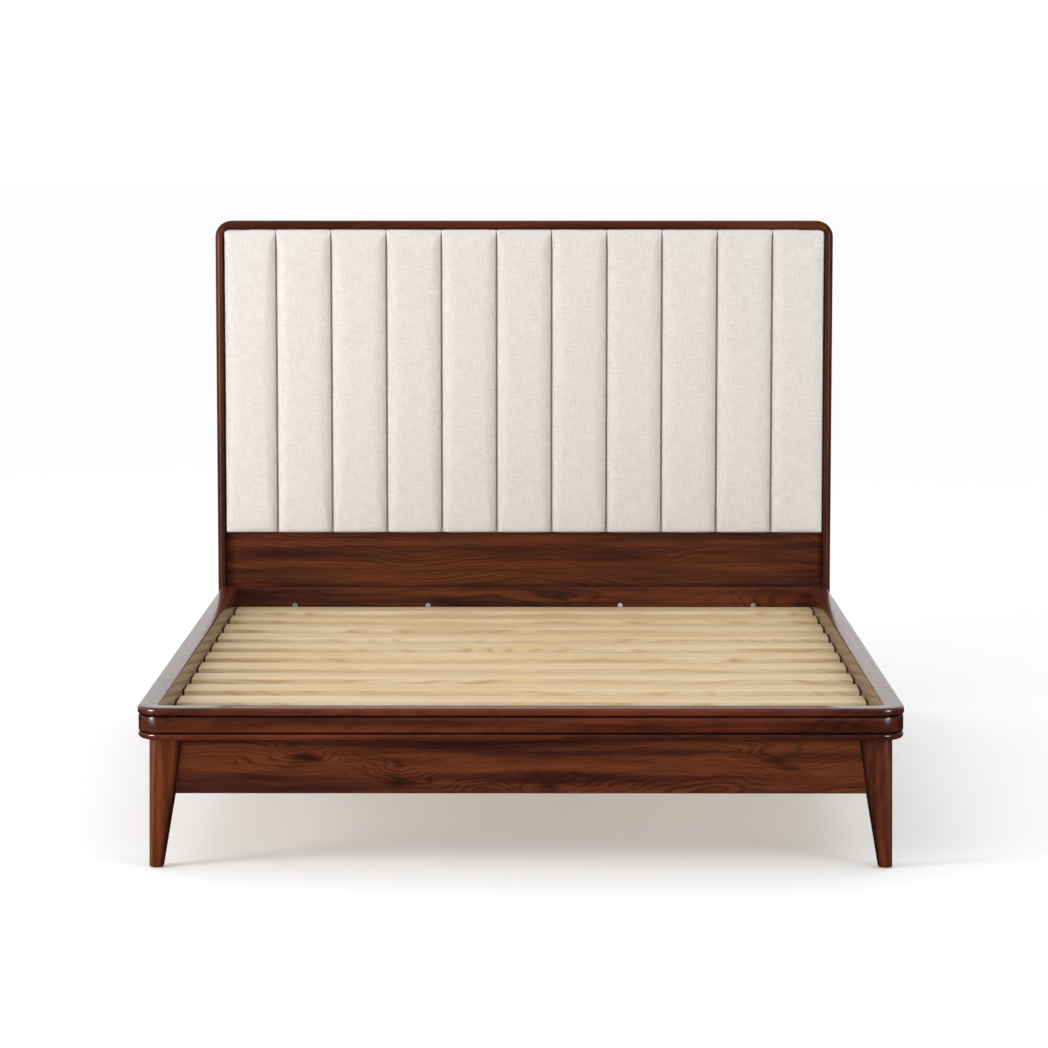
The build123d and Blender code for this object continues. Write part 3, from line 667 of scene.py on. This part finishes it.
slats = grow(
    "slats",
    bpy.data.meshes.new("slats"),
    tree,
    {
        "Count": len(slat_names),
        "Pitch": pitch,
        "Length": first_high.x - first_low.x,
        "Width": first_high.y - first_low.y,
        "Thickness": first_high.z - first_low.z,
        "Edge": slat_edge,
        "First": (first_low + first_high) / 2,
        "Material": slat_pine,
    },
    slat_pine,
)
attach(slats, "bed_frame")
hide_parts(*slat_names)


# Steel ----------------------------------------------------------------------------------------
# Pressed corner brackets and beam hangers, bolts, nuts and threaded inserts, all zinc-plated, and
# countersunk screws with a cross recess. Bright plating gives a soft, slightly cloudy shine.

material, tree = new_material("zinc_plated_steel")
place = add(tree, "ShaderNodeTexCoord").outputs["Object"]
cloud = add(tree, "ShaderNodeTexNoise", {"Vector": place, "Scale": 60, "Detail": 3}).outputs[0]
tints = {0: cloud, 6: srgb("#a9adb3"), 7: srgb("#c9c8c2")}
tint = add(tree, "ShaderNodeMix", tints, data_type="RGBA").outputs[2]
haze = add(tree, "ShaderNodeMapRange", {0: cloud, 1: 0.3, 2: 0.7, 3: 0.28, 4: 0.42}).outputs[0]
grit = add(tree, "ShaderNodeTexNoise", {"Vector": place, "Scale": 1500, "Detail": 1}).outputs[0]
dents = add(tree, "ShaderNodeBump", {"Strength": 0.1, "Distance": 0.1 * mm, "Height": grit}).outputs[0]
surface(tree, {"Base Color": tint, "Metallic": 1.0, "Roughness": haze, "Normal": dents})
zinc = material
finish_nodes(
    zinc, "corner_brackets", "hanger_bolts", "hex_nuts", "headboard_bolts", "beam_hangers", "foot_inserts"
)


def islands(node):
    """The separate solids of a CAD node, each as its corner points."""
    work = bmesh.new()
    work.from_mesh(nodes[node].data)
    bmesh.ops.remove_doubles(work, verts=work.verts, dist=0.01 * mm)
    left = set(work.verts)
    groups = []
    while left:
        group, front = [], [left.pop()]
        while front:
            vert = front.pop()
            group.append(vert.co.copy())
            for edge in vert.link_edges:
                other = edge.other_vert(vert)
                if other in left:
                    left.remove(other)
                    front.append(other)
        groups.append(group)
    work.free()
    return groups


head_proud = 0.2 * mm


def screw_places(node):
    """The middle of each screw's head, a hair proud of the wood, and the way from tip to head. Each
    screw lies along an axis; its tip is a single point and its head ends in a ring of them."""
    found = []
    for group in islands(node):
        low = Vector([min(values) for values in zip(*group)])
        high = Vector([max(values) for values in zip(*group)])
        along = max(range(3), key=lambda axis: high[axis] - low[axis])
        at_low = sum(p[along] < low[along] + 0.1 * mm for p in group)
        at_high = sum(p[along] > high[along] - 0.1 * mm for p in group)
        way = Vector()
        way[along] = 1 if at_high > at_low else -1
        head = (low + high) / 2 + way * (high[along] - low[along]) / 2
        found.append((head + way * head_proud, way))
    return sorted(found, key=lambda pair: tuple(round(c, 5) for c in pair[0]))


def screw_mesh(length):
    """A countersunk wood screw that points down, with a cross recess and a few turns of thread."""
    sides = 16
    crest, root, lead = 2.0 * mm, 1.4 * mm, 1.8 * mm
    neck, plain_tip = 4 * mm, 5 * mm
    outline = [(3.9 * mm, 0), (4.0 * mm, -0.3 * mm), (crest, -2.6 * mm), (root, -3.4 * mm)]
    turns = int((length - neck - plain_tip) / lead)
    for i in range(turns):
        top = -neck - i * lead
        outline += [(root, top), (crest, top - lead / 3), (root, top - lead * 2 / 3)]
    outline += [(0.1 * mm, -length)]
    points, faces = [], []
    arm, half_arm, recess, floor_share = 2.2 * mm, 0.55 * mm, 1.3 * mm, 0.45
    around = [2 * pi * i / sides for i in range(sides)]
    for radius, height in outline:
        points += [(radius * cos(a), radius * sin(a), height) for a in around]
    for i in range(len(outline) - 1):
        for j in range(sides):
            k = (j + 1) % sides
            faces.append([i * sides + j, i * sides + k, (i + 1) * sides + k, (i + 1) * sides + j])
    faces.append(list(range((len(outline) - 1) * sides, len(outline) * sides)))
    # The recess: a cross drawn on the head, whose floor is smaller and lower.
    cross = []
    for quarter in range(4):
        a = quarter * pi / 2
        for u, v in ((arm, -half_arm), (arm, half_arm), (half_arm, half_arm)):
            cross.append((u * cos(a) - v * sin(a), u * sin(a) + v * cos(a)))
    start = len(points)
    points += [(x, y, 0) for x, y in cross]
    points += [(x * floor_share, y * floor_share, -recess) for x, y in cross]
    points.append((0, 0, -recess))
    count = len(cross)
    for i in range(count):
        k = (i + 1) % count
        faces.append([start + i, start + k, start + count + k, start + count + i])
        faces.append([start + count + i, start + count + k, start + 2 * count])
    work = bmesh.new()
    verts = [work.verts.new(p) for p in points]
    for face in faces:
        work.faces.new([verts[i] for i in face])
    rim_edges = [e for e in work.edges if e.is_boundary]
    bmesh.ops.triangle_fill(work, edges=rim_edges, use_beauty=True)
    mesh = bpy.data.meshes.new("screw")
    work.to_mesh(mesh)
    work.free()
    tidy(mesh)
    return mesh


tree, given = new_tree(
    "screws_at_points", {"Screw": "NodeSocketObject", "Material": "NodeSocketMaterial"}
)
way = add(tree, "GeometryNodeInputNamedAttribute", {"Name": "way"}, data_type="FLOAT_VECTOR")
way = way.outputs["Attribute"]
turned = add(tree, "FunctionNodeAlignRotationToVector", {"Vector": way}, axis="Z").outputs[0]
one = add(tree, "GeometryNodeObjectInfo", {"Object": given["Screw"]}).outputs["Geometry"]
driven = {"Points": given["Geometry"], "Instance": one, "Rotation": turned}
many = add(tree, "GeometryNodeInstanceOnPoints", driven)
finish_tree(tree, many.outputs[0], given["Material"])
screw_tree = tree

for name, length in (("slat_screws", 40 * mm), ("bracket_screws", 18 * mm)):
    pattern = bpy.data.objects.new("one_screw", screw_mesh(length))
    scene.collection.objects.link(pattern)
    places = screw_places(name)
    start = bpy.data.meshes.new(name)
    start.from_pydata([head for head, _ in places], [], [])
    ways = start.attributes.new("way", "FLOAT_VECTOR", "POINT")
    for i, (_, way) in enumerate(places):
        ways.data[i].vector = way
    values = {"Screw": pattern, "Material": zinc}
    piece = grow(f"recessed_{name}", start, screw_tree, values, zinc)
    bpy.data.objects.remove(pattern)
    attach(piece, "bed_frame")
    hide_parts(name)


# Levelling feet, glides and dowels ------------------------------------------------------------
# Each centre leg stands on a moulded black nylon foot with a hexagonal collar on a threaded steel
# stud, screwed up or down to suit the floor. Nylon glides are driven into the other legs.

# Moulded nylon: near black, with the fine even grain of its mould, so it is satin, not glossy.
material, tree = new_material("moulded_black_nylon")
place = add(tree, "ShaderNodeTexCoord").outputs["Object"]
grain_noise = add(tree, "ShaderNodeTexNoise", {"Vector": place, "Scale": 900, "Detail": 2}).outputs[0]
tints = {0: grain_noise, 6: srgb("#141416"), 7: srgb("#202124")}
tint = add(tree, "ShaderNodeMix", tints, data_type="RGBA").outputs[2]
sheen = add(tree, "ShaderNodeMapRange", {0: grain_noise, 1: 0.3, 2: 0.7, 3: 0.42, 4: 0.56}).outputs[0]
bumps = {"Strength": 0.25, "Distance": 0.1 * mm, "Height": grain_noise}
grip = add(tree, "ShaderNodeBump", bumps).outputs[0]
surface(tree, {"Base Color": tint, "Roughness": sheen, "IOR": 1.53, "Normal": grip})
nylon = material
finish_nodes(nylon, "glides")


def turned_ring(y, radius, height, sides, flats=False):
    """A ring of points about a vertical line at y, round or with a hexagon's flats."""
    ring = []
    flat = pi / 3
    for i in range(sides):
        a = 2 * pi * i / sides
        out = radius
        if flats:
            out = radius / cos((a + flat / 2) % flat - flat / 2)
        ring.append((out * cos(a), y + out * sin(a), height))
    return ring


# The foot's outline, then its collar's and its stud's, as radius and height in millimetres.
foot_radius, foot_round, foot_top, collar_top = 20, 3, 7.0, 12.5
foot_outline = [(18.5, 0), (19.6, 0.4), (foot_radius, 1.2)]
foot_outline += arc((foot_radius - foot_round, foot_top - foot_round), foot_round, 0, 90, 6)
foot_outline += [(10.5, foot_top), (9.6, foot_top)]
collar = [(7.4, foot_top), (7.5, foot_top + 0.2), (7.5, collar_top - 0.5), (7.2, collar_top)]
foot_sides, stud_sides = 48, 20
stud_root, stud_crest, stud_pitch = 3.35, 4.0, 1.25
for name in ("front", "rear"):
    low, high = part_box(f"levelling_foot_{name}")
    y = (low.y + high.y) / 2
    base = low.z
    rings = [turned_ring(y, r * mm, base + z * mm, foot_sides) for r, z in foot_outline]
    rings += [turned_ring(y, r * mm, base + z * mm, foot_sides, True) for r, z in collar]
    foot = link(f"nylon_foot_{name}", loft("foot", rings), nylon)
    thread = [(3.3, collar_top), (3.3, collar_top + 0.5)]
    stud_top = (high.z - base) / mm
    for i in range(int(int(stud_top - 14) / stud_pitch)):
        z = collar_top + 0.7 + i * stud_pitch
        thread += [(stud_root, z), (stud_crest, z + 0.45), (stud_crest, z + 0.6), (stud_root, z + 1.05)]
    thread += [(3.2, stud_top)]
    rings = [turned_ring(y, r * mm, base + z * mm, stud_sides) for r, z in thread]
    stud = link(f"threaded_stud_{name}", loft("stud", rings), zinc)
    for piece in (foot, stud):
        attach(piece, f"{name}_leveller")
    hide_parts(f"levelling_foot_{name}")

# Steamed beech: pinkish and closer in the grain than the pine.
dowel_wood = dict(planed, deep="#d9b98c", warm="#e5cda6", line="#c9a274", ring=1.5 * mm)
finish_nodes(timber("fluted_beech", "Z", (0, 0.3, 0.3), dowel_wood), "dowels")


# Headboard frame and boards -------------------------------------------------------------------
# Two bull-nosed posts and a top rail of stained hardwood, mitred round the upper corners, with a
# rail and a board between them behind the mattress. A veneered plywood sheet closes the back in a
# groove of the frame, over the plywood that carries the upholstery.

post_low, post_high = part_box("headboard_stile_right")
panel_low, panel_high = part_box("headboard_back_panel")
head_half = post_high.x
head_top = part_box("headboard_top_rail")[1].z
frame_corner = 43 * mm
band = 23
frame_depth = 65
outer_round = 13
inner_round = 7
groove_slack = 0.3
groove_low = (panel_low.y - post_low.y) / mm - groove_slack
groove_high = (panel_high.y - post_low.y) / mm + groove_slack
groove_depth = 7.8


def band_profile(cut):
    """The frame's section, with the back panel's groove cut to a depth."""
    return (
        [(0, frame_depth)]
        + arc((outer_round, outer_round), outer_round, 180, 90, 10)
        + arc((band - inner_round, inner_round), inner_round, 270, 90, 7)
        + [(band, groove_low), (band - cut, groove_low), (band - cut, groove_high), (band, groove_high)]
        + [(band, frame_depth)]
    )


def frame_turn(side, degrees):
    """The section at an angle round an upper corner: 0 is the top rail, 90 the post."""
    turn = radians(degrees)
    x, z = head_half - frame_corner, head_top - frame_corner
    ring = []
    for inset, back in band_profile(groove_depth):
        out = frame_corner - inset * mm
        ring.append((side * (x + out * sin(turn)), post_low.y + back * mm, z + out * cos(turn)))
    return ring


def post_ring(side, height, cut):
    """The section of a post, level, at a height."""
    return [
        (side * (head_half - inset * mm), post_low.y + back * mm, height)
        for inset, back in band_profile(cut)
    ]


# The lacquer is duller on the headboard's frame, which gives a broad, weak shine, and painted shade
# darkens its inner edge, beside the cloth.
dull = dict(
    stained,
    deep="#3e1c11",
    warm="#602e19",
    bold=0.5,
    relief=0.06,
    gloss=0.32,
    specular=0.045,
    painted_shade=0.75,
)
inner_edge = band - inner_round
frame_painted_shade = [
    max(0.0, min(1.0, 1.4 * (inset - inner_edge) / inner_round)) for inset, _ in band_profile(0)
]
rail_rings = [frame_turn(-1, a) for a in reversed(half_turn)]
rail_rings += [frame_turn(1, a) for a in half_turn]
top_rail = link(
    "top_rail",
    loft("top_rail", rail_rings, painted_shade=frame_painted_shade),
    timber("stained_hardwood_top_rail", "X", (0.5, -1.11, -1.30), dict(dull, painted_shade=0.3), 26.0),
)
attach(top_rail, "bed_frame")
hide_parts("headboard_top_rail")
stop = panel_low.z - groove_slack * mm
for side, name in ((1, "right"), (-1, "left")):
    rings = [frame_turn(side, 90 - a) for a in reversed(half_turn)]
    rings += [post_ring(side, stop, groove_depth), post_ring(side, stop, 0)]
    rings.append(post_ring(side, post_low.z, 0))
    post = link(
        f"post_{name}",
        loft("post", rings, painted_shade=frame_painted_shade),
        timber(f"stained_hardwood_post_{name}", "Z", (0.3, -1.10, 0.80 * side), dull, 29.0 + side),
    )
    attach(post, "bed_frame")
    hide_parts(f"headboard_stile_{name}")

finish_nodes(
    timber("stained_hardwood_lower_boards", "X", (0.1, -1.16, -0.38), stained, 33.0),
    "headboard_lower_board",
    "headboard_bottom_rail",
)
# Sliced veneer of the same wood, whose arches are broader than a board's.
veneer = dict(stained, ring=14 * mm, bold=0.45)
finish_nodes(timber("stained_veneer", "Z", (0.2, -1.15, 0.1), veneer, 37.0), "headboard_back_panel")


# Upholstery -----------------------------------------------------------------------------------
# Eleven upright channels of foam under one cover of ivory linen, sewn through to the plywood at
# each seam. The cover rolls over at the top and bottom, and lies almost flat over the top of each
# seam, where the stitching has not yet drawn it in.

pad_names = [f"channel_pad_{i:02d}" for i in range(1, 12)]
seam_gap = 2.3 * mm
closed_gap = 0.05 * mm
pucker = 60 * mm
side_room = 1.5 * mm
swell_room = 4.0 * mm
lift = 20 * mm
ease = 5 * mm
levels = 160
top_level = 0.9999
frames = 20
front_steps = 36
roll_steps = 6
upright_steps = 24
flank = 27 * mm
outer_flank = 3 * mm
end_roll = 4 * mm
voxel = 6.5 * mm
opening = head_half - band * mm
opening_top = head_top - band * mm
opening_corner = frame_corner - band * mm
tuck = 9 * mm
tuck_push = 3 * mm
proud = 2 * mm
lap = 2.2 * mm
frame_gap = 0.15 * mm
foam_drift = 0.9 * mm
wrinkle_height = 0.35 * mm


def sewn(high, z):
    """How far down a seam holds: nothing at the top edge, all of it once clear of the roll."""
    share = min(1.0, max(0.0, (high.z - z) / pucker))
    return share * share * (3 - 2 * share)


def channel_ring(low, high, z, fullness):
    """A level section of a channel: flat behind, and flat in front but for its rolled flanks,
    which are tighter against the frame than at a seam, and shallow where the seam ends."""
    ring = []
    shoulder = 0.99 - 0.54 * sewn(high, z)
    width = high.x - low.x - 2 * side_room
    for i in range(front_steps + 1):
        u = i / front_steps * 2 - 1
        at_frame = low.x < -opening + mm if u < 0 else high.x > opening - mm
        edge = max(0.0, 1 - (1 - abs(u)) * width / 2 / (outer_flank if at_frame else flank))
        rise = (1 - edge**2.6) ** 0.5
        deep = (high.y - low.y - swell_room) * fullness * (shoulder + (1 - shoulder) * rise)
        ring.append(((low.x + high.x) / 2 + u * width / 2, high.y - deep, z))
    ring += [(high.x - side_room, high.y - 0.5 * mm, z), (low.x + side_room, high.y - 0.5 * mm, z)]
    return ring


def channel_blank(low, high):
    """The channel before it swells, with both ends rolled over."""
    rings = []
    for end, way in ((low.z + side_room, 1), (high.z - side_room, -1)):
        part = []
        for i in range(roll_steps + 1):
            a = radians(90 * i / roll_steps)
            z = end + way * end_roll * (1 - cos(a))
            part.append(channel_ring(low, high, z, 0.85 + 0.15 * sin(a)))
        rings += part if way > 0 else part[::-1]
        if way > 0:
            # The rings between the rolls stand closer together towards the top.
            for i in range(1, upright_steps):
                share = 1 - (1 - i / upright_steps) ** 2
                z = low.z + end_roll + (high.z - low.z - 2 * end_roll) * share
                rings.append(channel_ring(low, high, z, 1))
    return loft("channel", rings)


def evaluated_mesh(holder):
    """The holder's mesh with its modifiers worked out."""
    view = bpy.context.evaluated_depsgraph_get()
    return bpy.data.meshes.new_from_object(holder.evaluated_get(view))


def blown_up(holder):
    """The holder's cover after cloth simulation has pressed it out over its foam."""
    cloth = holder.modifiers.new("cloth", "CLOTH")
    cloth.settings.quality = 4
    cloth.settings.mass = 0.3
    cloth.settings.tension_stiffness = 12
    cloth.settings.compression_stiffness = 12
    cloth.settings.bending_stiffness = 2
    cloth.settings.use_pressure = True
    cloth.settings.uniform_pressure_force = 4
    cloth.settings.effector_weights.gravity = 0
    cloth.collision_settings.use_collision = False
    cloth.point_cache.frame_start = 1
    cloth.point_cache.frame_end = frames
    for number in range(1, frames + 1):
        scene.frame_set(number)
    mesh = evaluated_mesh(holder)
    holder.modifiers.clear()
    scene.frame_set(1)
    return mesh


def draw_to_seams(mesh, low, high):
    """Each level of a channel drawn out sideways to its seams, and flat over a seam's top."""
    # A level's reach to the left, its reach to the right, and where its front lies.
    middle = (low.x + high.x) / 2
    reach = [[0.0, 0.0, high.y] for _ in range(levels + 1)]
    for vert in mesh.vertices:
        row = reach[round((vert.co.z - low.z) / (high.z - low.z) * levels)]
        row[0] = max(row[0], middle - vert.co.x)
        row[1] = max(row[1], vert.co.x - middle)
        row[2] = min(row[2], vert.co.y)
    for vert in mesh.vertices:
        spot = min(max((vert.co.z - low.z) / (high.z - low.z), 0.0), top_level) * levels
        row = int(spot)
        side = 1 if vert.co.x > middle else 0
        local = reach[row][side] + (reach[row + 1][side] - reach[row][side]) * (spot - row)
        at_frame = high.x > opening - mm if side else low.x < -opening + mm
        gap = closed_gap if at_frame else closed_gap + (seam_gap - closed_gap) * sewn(high, vert.co.z)
        vert.co.x = middle + (vert.co.x - middle) * (high.x - middle - gap) / local
        if not at_frame:
            sunk = vert.co.y - reach[row][2] - (reach[row + 1][2] - reach[row][2]) * (spot - row)
            vert.co.y -= sunk * (1 - sewn(high, vert.co.z)) * max(0.0, 1 - sunk / lift)


def stuffed(name, low, high):
    """A channel's cover, blown up over its foam and fitted to its space."""
    holder = bpy.data.objects.new(name, channel_blank(low, high))
    scene.collection.objects.link(holder)
    remesh = holder.modifiers.new("remesh", "REMESH")
    remesh.mode = "VOXEL"
    remesh.voxel_size = voxel
    mesh = evaluated_mesh(holder)
    holder.modifiers.clear()
    holder.data = mesh
    before = [v.co.copy() for v in mesh.vertices]
    mesh = blown_up(holder)
    after = [v.co.copy() for v in mesh.vertices]
    bpy.data.objects.remove(holder)
    for vert, old, new in zip(mesh.vertices, before, after):
        move = new - old
        if move.length > ease:
            move *= ease / move.length
        vert.co = old + move
    # Any slack left at the edges is taken up, so the cover meets the frame and its neighbours.
    for axis in range(3):
        near = min(vert.co[axis] for vert in mesh.vertices)
        far = max(vert.co[axis] for vert in mesh.vertices)
        stretch = (high[axis] - low[axis]) / (far - near)
        for vert in mesh.vertices:
            vert.co[axis] = low[axis] + (vert.co[axis] - near) * stretch
    holder = bpy.data.objects.new(name, mesh)
    scene.collection.objects.link(holder)
    smooth = holder.modifiers.new("smooth", "SUBSURF")
    smooth.levels = 1
    smooth.render_levels = 1
    mesh = evaluated_mesh(holder)
    bpy.data.objects.remove(holder)
    draw_to_seams(mesh, low, high)
    return mesh


def fit_channel(mesh, low, high, number):
    """Small unevenness in the foam, and the cover kept to its seams and to the frame's opening."""
    for vert in mesh.vertices:
        p = vert.co
        front = min(1.0, max(0.0, (high.y - p.y) / (high.y - low.y)))
        drift = noise.noise(Vector((p.x * 9 + number * 7.3, number * 3.1, p.z * 5)))
        p.y += foam_drift * drift * front
        wrinkle = noise.noise(Vector((p.x * 40 + number * 5.7, 2.2, p.z * 11)))
        p.y += wrinkle_height * wrinkle * front
        if abs(p.x) < opening - tuck:
            p.x = min(max(p.x, low.x + closed_gap), high.x - closed_gap)
        p.y = min(max(p.y, low.y), high.y) - proud * front * front
        p.z = max(p.z, low.z)
        # The cover is pressed out to the frame, and into the hollow in front of its rounded edge.
        inner_x, inner_z = opening - opening_corner, opening_top - opening_corner
        out = Vector((max(abs(p.x) - inner_x, 0.0), max(p.z - inner_z, 0.0)))
        if out.length > 0:
            edge = max(0.0, 1 - (opening_corner - out.length) / tuck)
            push = tuck_push * edge * min(1.0, max(0.0, 1 - (p.y - low.y) / tuck))
            p.y = max(p.y - push, low.y - proud)
            round_edge = inner_round * mm
            behind = min(round_edge, max(0.0, round_edge - (p.y - post_low.y)))
            hollow = min(lap, round_edge - (round_edge**2 - behind**2) ** 0.5)
            room = opening_corner + hollow - frame_gap
            out *= min(out.length + push, room) / out.length
            if out.x > 0:
                p.x = (1 if p.x > 0 else -1) * (inner_x + out.x)
            if out.y > 0:
                p.z = inner_z + out.y


def woven(name, thin, thick):
    """Cloth plain-woven from slubby yarn: thick and thin threads cross, so the cloth is mottled
    in short level and upright dashes, matt, with a little sheen from loose fibres."""
    material, tree = new_material(name)
    place = add(tree, "ShaderNodeTexCoord").outputs["Object"]

    def threads(scale, shift, detail=2.0):
        """Noise drawn out along a yarn; scale is how many features to a metre along each axis."""
        inputs = {"Vector": place, "Location": (shift, shift, shift), "Scale": scale}
        at = add(tree, "ShaderNodeMapping", inputs).outputs[0]
        yarn = add(tree, "ShaderNodeTexNoise", {"Vector": at, "Scale": 1, "Detail": detail})
        return yarn.outputs[0]

    # Yarns are about 1 mm apart; the slubs, 2 to 3 mm wide and 20 to 50 mm long, are what shows.
    weft = threads((26, 60, 420), 1.0)
    warp = threads((420, 60, 30), 4.0)
    fine_weft = threads((160, 80, 1000), 7.0, 1.0)
    fine_warp = threads((1000, 80, 160), 9.0, 1.0)
    slubs = add(tree, "ShaderNodeMath", {0: weft, 1: warp}, operation="ADD").outputs[0]
    weave = add(tree, "ShaderNodeMath", {0: fine_weft, 1: fine_warp}, operation="ADD").outputs[0]
    cloth = add(tree, "ShaderNodeMath", {0: weave, 1: 0.6, 2: slubs}, operation="MULTIPLY_ADD").outputs[0]
    tone = add(tree, "ShaderNodeMapRange", {0: cloth, 1: 1.3, 2: 1.9}).outputs[0]
    yarns = {0: tone, 6: srgb(thin), 7: srgb(thick)}
    colour = add(tree, "ShaderNodeMix", yarns, data_type="RGBA").outputs[2]
    bumps = {"Strength": 0.35, "Distance": 0.3 * mm, "Height": cloth}
    bump = add(tree, "ShaderNodeBump", bumps).outputs[0]
    matt = {"Roughness": 0.92, "Specular IOR Level": 0.2, "Sheen Weight": 0.12, "Sheen Roughness": 0.5}
    surface(tree, {"Base Color": colour, **matt, "Normal": bump})
    return material


cover = woven("woven_ivory_linen", "#c9c3bf", "#dbd6d3")
# Unbleached calico lines the plywood, and is all that shows at the bottom of a seam.
finish_nodes(woven("unbleached_calico_lining", "#dcd4cb", "#e6dfd7"), "upholstery_board")
inner_low, inner_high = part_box(pad_names[5])
inner = stuffed("inner_channel", inner_low, inner_high)
for number, name in enumerate(pad_names):
    low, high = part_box(name)
    if number in (0, len(pad_names) - 1):
        mesh = stuffed(name, low, high)
    else:
        mesh = inner.copy()
        for vert in mesh.vertices:
            vert.co.x += (low.x + high.x - inner_low.x - inner_high.x) / 2
    fit_channel(mesh, low, high, number)
    mesh.shade_smooth()
    pad = link(f"linen_channel_{number + 1:02d}", mesh, cover)
    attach(pad, "bed_frame")
    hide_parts(name)
bpy.data.meshes.remove(inner)
